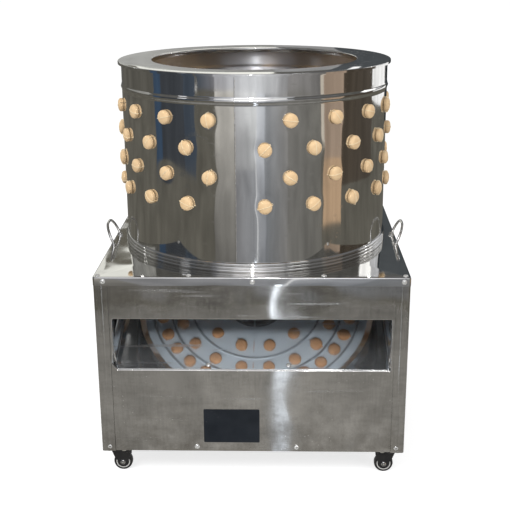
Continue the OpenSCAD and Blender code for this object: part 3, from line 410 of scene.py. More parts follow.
# The plate's swage rings carry painted shade, darker along each ring.
PLATE = SteelFinish("plate_sheet", (0.60, 0.67, 0.73), 0.42, 0.08, grain=0.00002, dirt_from=0.0,
                    metal=0.25, shaded_folds=SWAGES)
BRIGHT = SteelFinish("bright_bar", (0.80, 0.79, 0.77), 0.10, 0.08)
SCREW = SteelFinish("screw_zinc", (0.88, 0.88, 0.86), 0.22, 0.10, metal=0.7)
ZINC = SteelFinish("zinc_plating", (0.66, 0.65, 0.60), 0.28, 0.12, dust=0.2)
GROUND = SteelFinish("ground_bar", (0.62, 0.62, 0.61), 0.16, 0.10, grain=0.00001)
WELD = SteelFinish("weld_bead", (0.86, 0.85, 0.83), 0.16, 0.06, 0.0004, 160.0)
RUBBER = MouldedFinish("tan_rubber", (0.87, 0.63, 0.37), (0.77, 0.53, 0.29), 0.44, dust=0.15)
# Paler copy of the tan rubber for the parting line: a painted highlight along the ridge.
RIDGE_HIGHLIGHT_RUBBER = MouldedFinish("tan_rubber_painted_highlight", (0.90, 0.74, 0.50), (0.84, 0.66, 0.42), 0.40)
# Darker copy of the tan rubber for the fingers under the plate: painted shade, not a rubber of its
# own.
SHADED_TAN_RUBBER = MouldedFinish("tan_rubber_painted_shade", (0.52, 0.28, 0.13), (0.42, 0.21, 0.09), 0.5,
                             dust=0.2)
BLACK_RUBBER = MouldedFinish("black_rubber", (0.016, 0.016, 0.017), (0.026, 0.025, 0.024), 0.55,
                             dust=0.3)
PRIMER = MouldedFinish("grey_primer", (0.18, 0.19, 0.20), (0.24, 0.245, 0.25), 0.48, dust=0.4)
CAST = MouldedFinish("cast_iron", (0.20, 0.205, 0.21), (0.13, 0.13, 0.135), 0.50, 0.7, 140.0,
                     0.00012, 420.0)
ENAMEL = MouldedFinish("motor_enamel", (0.10, 0.17, 0.25), (0.13, 0.21, 0.29), 0.34, dust=0.4)
PLATE_PAINT = MouldedFinish("plate_paint", (0.010, 0.013, 0.018), (0.018, 0.022, 0.028), 0.42,
                            mottle_scale=34.0, pit=0.00001, dust=0.25, gloss=0.2)
CASTER = MouldedFinish("caster_enamel", (0.010, 0.010, 0.011), (0.018, 0.017, 0.016), 0.34,
                       dust=0.5)
TREAD = MouldedFinish("caster_nylon", (0.014, 0.014, 0.015), (0.024, 0.023, 0.022), 0.42, dust=0.6)
RACE = MouldedFinish("caster_race", (0.75, 0.75, 0.73), (0.62, 0.61, 0.58), 0.35, dust=0.4)
BOX_GREY = MouldedFinish("switch_plastic", (0.38, 0.39, 0.40), (0.43, 0.44, 0.45), 0.46)
NYLON = MouldedFinish("gland_nylon", (0.02, 0.02, 0.02), (0.032, 0.032, 0.033), 0.44)
GREEN = MouldedFinish("start_plastic", (0.02, 0.26, 0.06), (0.03, 0.31, 0.08), 0.26, coat=0.3)
RED = MouldedFinish("stop_plastic", (0.52, 0.016, 0.014), (0.60, 0.024, 0.02), 0.26, coat=0.3)

DRESSED: dict[str, bpy.types.Material] = {}


def dress(finish: Finish) -> bpy.types.Material:
    """The finish's material, made once.

    Args:
        finish: The finish to look up.

    Returns:
        Its material.
    """
    if finish.name not in DRESSED:
        DRESSED[finish.name] = finish.material()
    return DRESSED[finish.name]


# Outlines


def polar(radius: float, angle: float, z: float = 0.0) -> Vector:
    """Point at a radius and an angle in degrees from the front, positive to the right."""
    turn = math.radians(angle)
    return Vector((radius * math.sin(turn), -radius * math.cos(turn), z))


def rounded(points: Sequence[Sequence[float]], radius: float, steps: int = 4,
            closed: bool = True) -> list[Vector]:
    """Line through points, with a round arc at each corner.

    Args:
        points: Corner points, in two or three dimensions.
        radius: Radius of the arcs, less where the line is short.
        steps: Parts of each arc.
        closed: True if the last point joins the first.

    Returns:
        The points of the rounded line.
    """
    spots = [Vector(p) for p in points]
    count = len(spots)
    result: list[Vector] = []
    for i, spot in enumerate(spots):
        if not closed and i in (0, count - 1):
            result.append(spot)
            continue
        back, on = spots[i - 1] - spot, spots[(i + 1) % count] - spot
        half = back.angle(on) / 2
        spare = [0.98 if not closed and j in (0, count - 1) else 0.49 for j in (i - 1, i + 1)]
        reach = min(radius / math.tan(half), back.length * spare[0], on.length * spare[1])
        a, b = spot + back.normalized() * reach, spot + on.normalized() * reach
        pull = math.sin(half)
        for k in range(steps + 1):
            t = k / steps
            weights = ((1 - t) ** 2, 2 * pull * t * (1 - t), t * t)
            total = sum(weights)
            result.append((a * weights[0] + spot * weights[1] + b * weights[2]) / total)
    return result


def grown(points: Sequence[Point2], amount: float) -> list[Vector]:
    """Closed counter-clockwise outline with each side moved outward.

    Args:
        points: Corner points.
        amount: Distance that the sides move.

    Returns:
        The new corner points.
    """
    spots = [Vector(p) for p in points]
    result = []
    for i, spot in enumerate(spots):
        into = (spot - spots[i - 1]).normalized()
        on = (spots[(i + 1) % len(spots)] - spot).normalized()
        a, b = Vector((into.y, -into.x)), Vector((on.y, -on.x))
        result.append(spot + (a + b) * (amount / (1 + a.dot(b))))
    return result


def thickened(path: Sequence[Vector], thickness: float) -> list[Vector]:
    """Closed outline of a bent sheet's edge.

    Args:
        path: Points of the outer face in the plane.
        thickness: Sheet thickness, to the right of the path.

    Returns:
        The outline: the path, then its inner face back to the start.
    """
    inner = []
    for i, spot in enumerate(path):
        into = (spot - path[i - 1]).normalized() if i else None
        on = (path[i + 1] - spot).normalized() if i + 1 < len(path) else into
        into = into or on
        a, b = Vector((into.y, -into.x)), Vector((on.y, -on.x))
        inner.append(spot + (a + b) * (thickness / (1 + a.dot(b))))
    return list(path) + inner[::-1]


def circle(radius: float, count: int, centre: Point2 = (0.0, 0.0)) -> list[Point2]:
    """Points round a circle."""
    turns = (2 * math.pi * i / count for i in range(count))
    return [(centre[0] + radius * math.cos(a), centre[1] + radius * math.sin(a)) for a in turns]


def mm(points: Iterable[Point2]) -> list[Point2]:
    """Points given in millimetres, in metres."""
    return [(a * MM, b * MM) for a, b in points]


def moved(corners: Sequence[Point2], grow: float, radius: float, steps: int) -> list[Vector]:
    """Outline with its sides moved outward and its corner radius moved along."""
    return rounded([tuple(p) for p in grown(corners, grow)], radius + grow, steps)


def heading(path: Sequence[Vector], i: int) -> Vector:
    """Direction of a path at one of its points."""
    return (path[min(i + 1, len(path) - 1)] - path[max(i - 1, 0)]).normalized()


def facing(place: Sequence[float], out: Sequence[float]) -> Matrix:
    """Frame at a place whose Z points outward."""
    turn = Vector(out).to_track_quat("Z", "Y").to_matrix().to_4x4()
    return Matrix.Translation(place) @ turn


def islands(node: str) -> list[tuple[Vector, Vector]]:
    """Boxes of the separate solids of a CAD node.

    Args:
        node: Name of the node.

    Returns:
        Lowest and highest corner of each solid.
    """
    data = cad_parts[node].data
    welds: dict[tuple, int] = {}
    keys = []
    for vert in data.vertices:
        spot = tuple(round(c, 5) for c in vert.co)
        keys.append(welds.setdefault(spot, len(welds)))
    parent = list(range(len(welds)))

    def root(i: int) -> int:
        """Representative of a weld's group."""
        while parent[i] != i:
            parent[i] = parent[parent[i]]
            i = parent[i]
        return i

    for face in data.polygons:
        first = root(keys[face.vertices[0]])
        for v in face.vertices[1:]:
            parent[root(keys[v])] = first
    groups: dict[int, list[Vector]] = {}
    for vert, key in zip(data.vertices, keys):
        groups.setdefault(root(key), []).append(vert.co)
    return [(Vector(map(min, zip(*spots))), Vector(map(max, zip(*spots))))
            for spots in groups.values()]


# Meshes


def show(name: str, data: bpy.types.Mesh, body: str,
         stands_for: Iterable[str] = ()) -> bpy.types.Object:
    """Puts a mesh into the scene as a piece of the object.

    Args:
        name: Name of the piece.
        data: Its mesh, in place.
        body: CAD body that it rides on.
        stands_for: CAD nodes that it replaces.

    Returns:
        The new object.
    """
    item = bpy.data.objects.new(name, data)
    bpy.context.scene.collection.objects.link(item)
    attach(item, body)
    nodes = tuple(stands_for)
    if nodes:
        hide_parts(*nodes)
    LOG.info("%s: %d faces on %s", name, len(data.polygons), body)
    return item


class Shape:
    """A mesh under construction, with a finish on each face."""

    def __init__(self, name: str) -> None:
        """Starts an empty shape with a piece's name."""
        self.name = name
        self.verts: list[Vector] = []
        self.faces: list[tuple[int, ...]] = []
        self.tags: list[int] = []
        self.finishes: list[Finish] = []

    def tag(self, finish: Finish) -> int:
        """Index of a finish among the shape's own."""
        if finish not in self.finishes:
            self.finishes.append(finish)
        return self.finishes.index(finish)

    def ring(self, points: Iterable[Sequence[float]]) -> list[int]:
        """Adds points and gives their indices."""
        start = len(self.verts)
        self.verts.extend(Vector(p) for p in points)
        return list(range(start, len(self.verts)))

    def face(self, corners: Iterable[int], finish: Finish) -> None:
        """Adds one face."""
        self.faces.append(tuple(corners))
        self.tags.append(self.tag(finish))

    def band(self, low: list[int], high: list[int], finish: Finish, closed: bool = True) -> None:
        """Joins two rings with faces; a ring of one point is a pole."""
        count = max(len(low), len(high))
        for i in range(count if closed else count - 1):
            j = (i + 1) % count
            a = [low[i], low[j]] if len(low) > 1 else [low[0]]
            b = [high[j], high[i]] if len(high) > 1 else [high[0]]
            self.face(a + b, finish)

    def loft(self, rings: Sequence[Sequence], finish: Finish | Sequence[Finish],
             closed: bool = True, loop: bool = False, caps: bool = False) -> list[list[int]]:
        """Skins a row of rings.

        Args:
            rings: Points of each ring, all of one count, or one point for a pole.
            finish: Finish of all bands, or one for each band.
            closed: True if each ring is closed.
            loop: True if the last ring joins the first.
            caps: True to close both ends with a face.

        Returns:
            The point indices of each ring.
        """
        rows = [self.ring(points) for points in rings]
        pairs = list(zip(rows, rows[1:] + rows[:1])) if loop else list(zip(rows, rows[1:]))
        coats = finish if isinstance(finish, (list, tuple)) else [finish] * len(pairs)
        for (low, high), coat in zip(pairs, coats):
            self.band(low, high, coat, closed)
        if caps:
            self.face(rows[0][::-1], coats[0])
            self.face(rows[-1], coats[-1])
        return rows

    def lathe(self, profile: Sequence[Point2], finish: Finish | Sequence[Finish],
              segments: int = 32, at: Matrix | None = None, loop: bool = False) -> None:
        """Turns a profile round Z.

        Args:
            profile: Radius and height of each ring; radius 0 is a pole.
            finish: Finish of all bands, or one for each band.
            segments: Steps round the axis.
            at: Frame of the axis, or None for the shape's own.
            loop: True if the profile is closed.
        """
        at = at or Matrix()
        rings = []
        for radius, z in profile:
            turns = circle(radius, segments) if radius > 1e-9 else [(0.0, 0.0)]
            rings.append([at @ Vector((x, y, z)) for x, y in turns])
        self.loft(rings, finish, loop=loop)

    def tube(self, path: Sequence[Vector], radius: float, finish: Finish, sides: int = 16) -> None:
        """Sweeps a round section along a path, with closed ends."""
        rings = []
        side = None
        for i, spot in enumerate(path):
            along = heading(path, i)
            side = (side - along * side.dot(along)) if side else along.orthogonal()
            side.normalize()
            up = along.cross(side)
            rings.append([spot + (side * x + up * y) for x, y in circle(radius, sides)])
        self.loft(rings, finish, caps=True)

    def stamp(self, other: "Shape", at: Matrix) -> None:
        """Adds a copy of another shape in a frame."""
        start = len(self.verts)
        self.verts.extend(at @ vert for vert in other.verts)
        for corners, index in zip(other.faces, other.tags):
            self.face((start + c for c in corners), other.finishes[index])

    def piece(self, body: str, stands_for: Iterable[str] = (), sharp: float = 35.0,
              bevel: float = 0.0) -> bpy.types.Object:
        """Turns the shape into a piece of the object.

        Args:
            body: CAD body that it rides on.
            stands_for: CAD nodes that it replaces.
            sharp: Angle in degrees above which an edge stays sharp.
            bevel: Width of a bevel on the sharp edges, or 0.

        Returns:
            The new object.
        """
        data = bpy.data.meshes.new(self.name)
        data.from_pydata(self.verts, [], self.faces)
        for finish in self.finishes:
            data.materials.append(dress(finish))
        data.polygons.foreach_set("material_index", self.tags)
        work = bmesh.new()
        work.from_mesh(data)
        bmesh.ops.recalc_face_normals(work, faces=work.faces)
        work.to_mesh(data)
        work.free()
        data.shade_smooth()
        data.set_sharp_from_angle(angle=math.radians(sharp))
        item = show(self.name, data, body, stands_for)
        if bevel:
            soften(item, bevel)
        return item


def soften(item: bpy.types.Object, width: float) -> None:
    """Rounds the sharp edges of an object with a bevel that keeps its flat faces flat."""
    edge = item.modifiers.new("edges", "BEVEL")
    edge.width = width
    edge.segments = 2
    edge.limit_method = "ANGLE"
    edge.angle_limit = math.radians(35)
    edge.harden_normals = True


@dataclass
class Blank:
    """A flat blank with holes, which is then pressed to its form."""

    outline: list[Point2]
    holes: list[list[Point2]] = field(default_factory=list)
    marks: list[Point2] = field(default_factory=list)

    def triangles(self) -> tuple[np.ndarray, np.ndarray]:
        """Cuts the blank into triangles.

        Returns:
            The points and the corner indices.
        """
        spots: list[Vector] = []
        edges = []
        for loop in [self.outline, *self.holes]:
            first, count = len(spots), len(loop)
            spots.extend(Vector(p) for p in loop)
            edges.extend((first + i, first + (i + 1) % count) for i in range(count))
        spots.extend(Vector(p) for p in self.marks)
        points, _, faces, *_ = delaunay_2d_cdt(spots, edges, [], 1, 1e-7)
        places, tris = np.array([tuple(p) for p in points]), np.array(faces)
        middles = places[tris].mean(axis=1)
        keep = np.ones(len(tris), bool)
        for loop in self.holes:
            keep &= ~self.within(np.array(loop), middles)
        tris = tris[keep]
        used, tris = np.unique(tris, return_inverse=True)
        return places[used], tris.reshape(-1, 3)

    @staticmethod
    def within(loop: np.ndarray, spots: np.ndarray) -> np.ndarray:
        """Marks the spots that lie inside a closed loop."""
        (x0, y0), (x1, y1) = loop.min(axis=0), loop.max(axis=0)
        x, y = spots.T
        found = np.flatnonzero((x > x0) & (x < x1) & (y > y0) & (y < y1))
        odd = np.zeros(len(found), bool)
        for a, b in zip(loop, np.roll(loop, -1, axis=0)):
            crosses = (a[1] > y[found]) != (b[1] > y[found])
            rise = b[1] - a[1] if b[1] != a[1] else 1.0
            odd ^= crosses & (x[found] < a[0] + (y[found] - a[1]) * (b[0] - a[0]) / rise)
        result = np.zeros(len(spots), bool)
        result[found] = odd
        return result

    def press(self, name: str, form: Form, thickness: float, finish: Finish,
              back: Finish | None = None) -> bpy.types.Mesh:
        """Bends the blank to a form and gives it thickness, with the form's true normals.

        Args:
            name: Name of the mesh.
            form: Places in space of the outer face, from the blank's coordinates.
            thickness: Sheet thickness behind the outer face.
            finish: The sheet's finish.
            back: Finish of the inner face, if it differs.

        Returns:
            The new mesh.
        """
        flat, tris = self.triangles()
        u, v = flat[:, 0], flat[:, 1]
        step = 2e-4
        along = (form(np.minimum(u + step, u.max()), v) - form(np.maximum(u - step, u.min()), v))
        across = (form(u, np.minimum(v + step, v.max())) - form(u, np.maximum(v - step, v.min())))
        normal = np.cross(along, across)
        normal /= np.linalg.norm(normal, axis=1)[:, None]
        outer = form(u, v)
        inner = outer - normal * thickness
        count = len(flat)
        directed = {(a, b) for t in tris for a, b in zip(t, np.roll(t, -1))}
        rim = [(a, b) for a, b in directed if (b, a) not in directed]
        rim.sort()
        faces = [tuple(t) for t in tris] + [tuple(t[::-1] + count) for t in tris]
        faces += [(b, a, a + count, b + count) for a, b in rim]
        places = np.vstack((outer, inner))
        loops = [normal[tris].reshape(-1, 3), -normal[tris[:, ::-1]].reshape(-1, 3)]
        edge = [np.cross(places[a] - places[b], places[a + count] - places[a]) for a, b in rim]
        edge = np.array(edge) / np.linalg.norm(edge, axis=1)[:, None]
        loops.append(np.repeat(edge, 4, axis=0))
        data = bpy.data.meshes.new(name)
        data.from_pydata(places.tolist(), [], [tuple(int(i) for i in f) for f in faces])
        data.materials.append(dress(finish))
        if back is not None:
            data.materials.append(dress(back))
            for face in data.polygons[len(tris):2 * len(tris)]:
                face.material_index = 1
        data.shade_smooth()
        data.normals_split_custom_set(np.vstack(loops).tolist())
        return data


# Fingers

HOLE_R = 9.9 * MM


@dataclass
class Finger:
    """One moulded plucking finger: domed head outside, ribbed finger inside its sheet."""

    head_r: float = 12.5 * MM
    head_h: float = 9.5 * MM
    neck_r: float = 9.8 * MM
    collar_r: float = 12 * MM
    collar_h: float = 5 * MM
    length: float = 78 * MM
    root_r: float = 10 * MM
    tip_r: float = 7 * MM
    ribs: int = 5

    def spokes(self) -> list[float]:
        """Angles of the section's points, close together beside the parting line."""
        quarter = [0, 4, 10, 28, 48, 68]
        half = quarter + [90] + [180 - a for a in quarter[:0:-1]]
        return [math.radians(a) for a in half + [180 + a for a in half]]

    def level(self, radius: float, z: float) -> list[Vector]:
        """Ring of the finger at a height, or its pole if the radius is 0."""
        if not radius:
            return [Vector((0, 0, z))]
        return [Vector((radius * math.cos(a), radius * math.sin(a), z)) for a in self.spokes()]

    def inside(self, sheet: float) -> list[Point2]:
        """Profile from under the head to the tip, below the sheet's outer face."""
        low = -sheet
        line = [(self.neck_r, 0.0), (self.neck_r, low), (self.collar_r - 0.4 * MM, low - 0.1 * MM),
                (self.collar_r, low - 0.6 * MM), (self.collar_r, low - self.collar_h + MM),
                (self.collar_r - MM, low - self.collar_h)]
        start, end = self.collar_h + 2 * MM, self.length - self.tip_r
        steps = self.ribs * 6
        for k in range(steps + 1):
            t = k / steps
            bump = max(0.0, math.sin(2 * math.pi * self.ribs * t - 0.6)) ** 2 * MM
            radius = self.root_r + (self.tip_r - self.root_r) * t + bump * (t < 0.97)
            line.append((radius, low - start - (end - start) * t))
        for k in (1, 2, 3):
            a = math.radians(30 * k)
            line.append((self.tip_r * math.cos(a) if k < 3 else 0.0,
                         low - end - self.tip_r * math.sin(a)))
        return line

    def build(self, sheet: float, curve: float, nub: float, finish: Finish,
              pale: Finish) -> Shape:
        """Makes the finger with its head along +Z.

        Args:
            sheet: Thickness of the sheet that it is pulled through.
            curve: Radius of the sheet across the finger, or 0 if it is flat.
            nub: How far the flash stands out at the ends of the parting line.
            finish: The finger's rubber.
            pale: Paler rubber of its parting line, a painted highlight along the ridge.

        Returns:
            The finger's shape.
        """
        shape = Shape("finger")
        rings = [self.level(0, self.head_h + 0.5 * MM)]
        levels = [(self.head_r * math.cos(math.radians(a)) ** 0.7,
                   self.head_h * (0.45 + 0.55 * math.sin(math.radians(a))))
                  for a in (84, 74, 62, 48, 34, 20, 8, 0)]
        levels += [(self.head_r, 2.2 * MM), (self.head_r - 0.1 * MM, 0.8 * MM),
                   (self.head_r - 0.7 * MM, 0.0)]
        for k, (radius, z) in enumerate(levels):
            ring = self.level(radius, z)
            if curve and k > 7:
                for spot in ring:
                    spot.z -= spot.x ** 2 / (2 * curve) * (1 - z / (3 * MM))
            rings.append(ring)
        rings += [self.level(radius, z) for radius, z in self.inside(sheet)]
        shape.loft(rings, finish)
        self.flash(shape, levels[:-1], nub, pale)
        return shape

    def flash(self, shape: Shape, levels: list[Point2], nub: float, finish: Finish) -> None:
        """Adds the raised parting line that runs over the head.

        Args:
            shape: The finger's shape.
            levels: Radius and height of the head's rings, from the middle out.
            nub: How far the flash stands out at its ends.
            finish: The flash's rubber, paler on the wall's fingers as a painted highlight.
        """
        half = [Vector((0.0, self.head_h + 0.5 * MM))] + [Vector(level) for level in levels]
        line = [Vector((-p.x, p.y)) for p in reversed(half[1:])] + half
        section = ((-0.85, -0.3), (-0.6, 0.35), (0.0, 0.65), (0.6, 0.35), (0.85, -0.3))
        rings = []
        for i, spot in enumerate(line):
            along = heading(line, i)
            out = Vector((-along.y, along.x))
            lift = 1.0 + nub / (0.6 * MM) * max(0.0, abs(spot.x) / self.head_r - 0.9) * 10
            ring = []
            for side, rise in section:
                place = spot + out * (rise * lift * MM if rise > 0 else rise * MM)
                ring.append(Vector((place.x, side * MM, place.y)))
            rings.append(ring)
        shape.loft(rings, finish, caps=True)


class FingerSets:
    """All the rubber fingers, each set placed on the solids of its CAD node."""

    WALL = tuple(f"wall_fingers_row_{row}" for row in (1, 2, 3, 4))
    PLATE = ("plate_fingers_inner", "plate_fingers_middle", "plate_fingers_outer")

    def __init__(self, drum_r: float, plate_z: float) -> None:
        """Keeps the drum's radius and the height of the plate's underside."""
        self.drum_r = drum_r
        self.plate_z = plate_z
        self.chance = random.Random(17)
        self.wall_spots: list[tuple[float, float]] = []
        self.plate_spots: list[Point2] = []

    def shapes(self, sheet: float, curve: float, *rubbers: Finish) -> list[Shape]:
        """A few fingers whose flash differs."""
        return [Finger().build(sheet, curve, nub * MM, *rubbers) for nub in (0.1, 0.8, 1.6)]

    def wall(self) -> None:
        """Builds the four rows in the drum's wall."""
        kinds = self.shapes(1.5 * MM, self.drum_r, RUBBER, RIDGE_HIGHLIGHT_RUBBER)
        for node in self.WALL:
            shape = Shape(f"{node}_moulded")
            for low, high in islands(node):
                middle = (low + high) / 2
                angle = math.degrees(math.atan2(middle.x, -middle.y))
                self.wall_spots.append((angle, middle.z))
                out = polar(1.0, angle)
                seat = facing(polar(self.drum_r, angle, middle.z), out)
                tilt = Matrix.Rotation(self.chance.uniform(-0.05, 0.05), 4, "X")
                shape.stamp(self.twisted(kinds), seat @ tilt)
            shape.piece("base", [node], sharp=60)

    def twisted(self, kinds: list[Shape]) -> Shape:
        """A finger with its parting line turned at random round its axis."""
        kind = self.chance.choice(kinds)
        turn = Matrix.Rotation(self.chance.uniform(0, math.pi), 4, "Z")
        copy = Shape(kind.name)
        copy.stamp(kind, turn)
        return copy

    def plate(self) -> None:
        """Builds the three rings in the plate, heads down."""
        # The plate's fingers take the darker copy of the tan rubber, which paints the shade under
        # the plate.
        kinds = self.shapes(3 * MM, 0.0, SHADED_TAN_RUBBER, SHADED_TAN_RUBBER)
        for node in self.PLATE:
            shape = Shape(f"{node}_moulded")
            for low, high in islands(node):
                middle = (low + high) / 2
                self.plate_spots.append((middle.x, middle.y))
                seat = facing((middle.x, middle.y, self.plate_z), (0, 0, -1))
                shape.stamp(self.twisted(kinds), seat)
            shape.piece("turntable", [node], sharp=60)


# Drum


@dataclass
class Drum:
    """Rolled drum wall with its bead, weld seam and dimples, and the rings at rim and foot."""

    radius: float = 252 * MM
    sheet: float = 1.5 * MM
    low: float = 389 * MM
    rim_z: float = 736.5 * MM
    rim_r: float = 258 * MM
    mouth_r: float = 194.3 * MM
    bead_low: float = 683.5 * MM
    bead_high: float = 696.5 * MM
    bead_out: float = 2 * MM
    seam: float = -6.0
    seam_rise: float = 0.35 * MM
    seam_reach: float = 12 * MM
    dimple_deep: float = 0.45 * MM
    dimple_r: float = 9 * MM
    weld_foot: float = 19 * MM
    weld_head: float = 6 * MM
    spots: list[tuple[float, float]] = field(default_factory=list)

    @property
    def girth(self) -> float:
        """Length of the wall's blank round the drum."""
        return 2 * math.pi * self.radius

    def reach(self, angle: float) -> float:
        """Arc length from the seam to an angle."""
        return (math.radians(angle - self.seam) * self.radius) % self.girth

    def swell(self, u: np.ndarray, v: np.ndarray) -> np.ndarray:
        """Radius of the wall at arc length u from the seam and height v."""
        t = np.clip((v - self.bead_low) / (self.bead_high - self.bead_low), 0, 1)
        radius = self.radius + self.bead_out * np.sin(math.pi * t) ** 2
        for angle, z in self.spots:
            gap = np.abs(u - self.reach(angle))
            gap = np.minimum(gap, self.girth - gap)
            away = (gap ** 2 + (v - z) ** 2) / (2 * self.dimple_r ** 2)
            radius -= self.dimple_deep * np.exp(-away)
        near = np.minimum(u, self.girth - u)
        return radius + self.seam_rise * np.exp(-near / self.seam_reach)

    def wall_form(self, u: np.ndarray, v: np.ndarray) -> np.ndarray:
        """Places of the wall's outer face."""
        radius = self.swell(u, v)
        turn = u / self.radius + math.radians(self.seam)
        return np.stack((radius * np.sin(turn), -radius * np.cos(turn), v), axis=1)

    def wall(self) -> None:
        """Presses the wall out of one blank with a hole for each finger."""
        girth = self.girth
        top = self.rim_z - self.sheet
        around, up = 396, 84
        columns = [girth * i / around for i in range(around + 1)]
        rows = [self.low + (top - self.low) * i / up for i in range(up + 1)]
        outline = [(c, self.low) for c in columns] + [(girth, r) for r in rows[1:-1]]
        outline += [(c, top) for c in reversed(columns)] + [(0.0, r) for r in rows[-2:0:-1]]
        centres = [(self.reach(angle), z) for angle, z in self.spots]
        holes = [circle(HOLE_R, 24, centre)[::-1] for centre in centres]
        spots = np.array(centres)
        marks = []
        for c in columns[1:-1]:
            for r in rows[1:-1]:
                if np.hypot(spots[:, 0] - c, spots[:, 1] - r).min() > 11.5 * MM:
                    marks.append((c, r))
        blank = Blank(outline, holes, marks)
        data = blank.press("drum_wall", self.wall_form, self.sheet, MIRROR, INSIDE)
        show("drum_wall", data, "base", ["drum_shell"])

    def seam_weld(self) -> None:
        """Dressed weld bead down the wall's seam."""
        shape = Shape("drum_seam")
        rings = []
        steps = 90
        chance = random.Random(5)
        for i in range(steps + 1):
            span = self.rim_z - self.weld_head - self.low - self.weld_foot
            z = self.low + self.weld_foot + span * i / steps
            base = float(self.swell(np.array([0.0]), np.array([z]))[0])
            width = 1.0 * MM * chance.uniform(0.85, 1.15)
            rise = 0.32 * MM * chance.uniform(0.8, 1.2)
            ring = []
            for off, lift in ((-1.0, -0.3), (-0.9, 0.25), (-0.5, 0.8), (0.0, 1.0), (0.5, 0.8),
                              (0.9, 0.25), (1.0, -0.3)):
                angle = self.seam + math.degrees(off * width / base)
                ring.append(polar(base + rise * lift, angle, z))
            rings.append(ring)
        shape.loft(rings, WELD, caps=True)
        shape.piece("base", sharp=70)

    def rim(self) -> None:
        """Flat rim ring with rolled edges."""
        t = self.sheet
        top, lip, inner_lip = self.rim_z, 5 * MM, 8 * MM
        outer = [(self.mouth_r, top - inner_lip), (self.mouth_r, top), (self.rim_r, top),
                 (self.rim_r, top - lip)]
        path = rounded(outer, 1.3 * MM, 6, closed=False)
        shape = Shape("rim_rolled")
        shape.lathe([tuple(p) for p in thickened(path, t)], MIRROR, 240, loop=True)
        shape.piece("base", ["rim_ring"], sharp=40)

    def foot(self) -> None:
        """Ridged foot ring on the cover."""
        line = [(self.radius + 0.05 * MM, self.low), (self.radius + 1.4 * MM, self.low)]
        for ridge in range(3):
            for k in range(9):
                a = math.pi * k / 8
                z = self.low + (6 * ridge + 0.2 + 5.6 * k / 8) * MM
                line.append((self.radius + (1.0 + 2.6 * math.sin(a) ** 0.8) * MM, z))
        line += [(self.radius + 0.6 * MM, self.low + 18 * MM),
                 (self.radius + 0.05 * MM, self.low + 18 * MM)]
        shape = Shape("foot_ridged")
        shape.lathe(line, MIRROR, 240, loop=True)
        shape.piece("base", ["foot_ring"], sharp=50)

    def build(self) -> None:
        """Builds the wall, its seam and both rings."""
        self.wall()
        self.seam_weld()
        self.rim()
        self.foot()


# Base


@dataclass
class Cover:
    """Square top cover with a folded skirt and a round hole under the drum."""

    half: float = 278 * MM
    top: float = 389 * MM
    skirt: float = 16 * MM
    sheet: float = 1.5 * MM
    hole_r: float = 243 * MM
    fold: float = 2.0 * MM
    corner: float = 4 * MM

    def square(self, half: float, z: float, corner: float) -> list[Vector]:
        """Rounded square ring with many points along its sides."""
        ring: list[Vector] = []
        side = 40
        for k in range(4):
            turn = Matrix.Rotation(math.pi / 2 * k, 3, "Z")
            reach = half - corner
            for i in range(side):
                x = -reach + 2 * reach * i / side
                ring.append(turn @ Vector((x, -half, z)))
            for i in range(6):
                a = math.radians(15 * i)
                ring.append(turn @ Vector((reach + corner * math.sin(a),
                                           -reach - corner * math.cos(a), z)))
        return ring

    def build(self) -> None:
        """Builds the cover as one folded sheet."""
        corner = self.corner
        low, t = self.top - self.skirt, self.sheet
        outer = []
        for k in range(6):
            a = math.radians(18 * k)
            drop = self.fold * (1 - math.cos(a))
            outer.append(self.square(self.half - self.fold * (1 - math.sin(a)), self.top - drop,
                                     corner))
        outer.append(self.square(self.half, low + 0.3 * MM, corner))
        inner = [self.square(self.half - 0.3 * MM, low, corner),
                 self.square(self.half - t, low, corner),
                 self.square(self.half - t, self.top - t - 0.5 * MM, corner),
                 self.square(self.half - t - 0.5 * MM, self.top - t, corner)]
        flat = outer[0]
        hole = [Vector((p.x, p.y, 0)).normalized() * self.hole_r for p in flat]
        edge_low = [Vector((p.x, p.y, self.top - t)) for p in hole]
        edge_high = [Vector((p.x, p.y, self.top)) for p in hole]
        shape = Shape("cover_folded")
        shape.loft([edge_high, *outer, *inner, edge_low], COVER, loop=True)
        shape.piece("base", ["top_cover"], sharp=40)


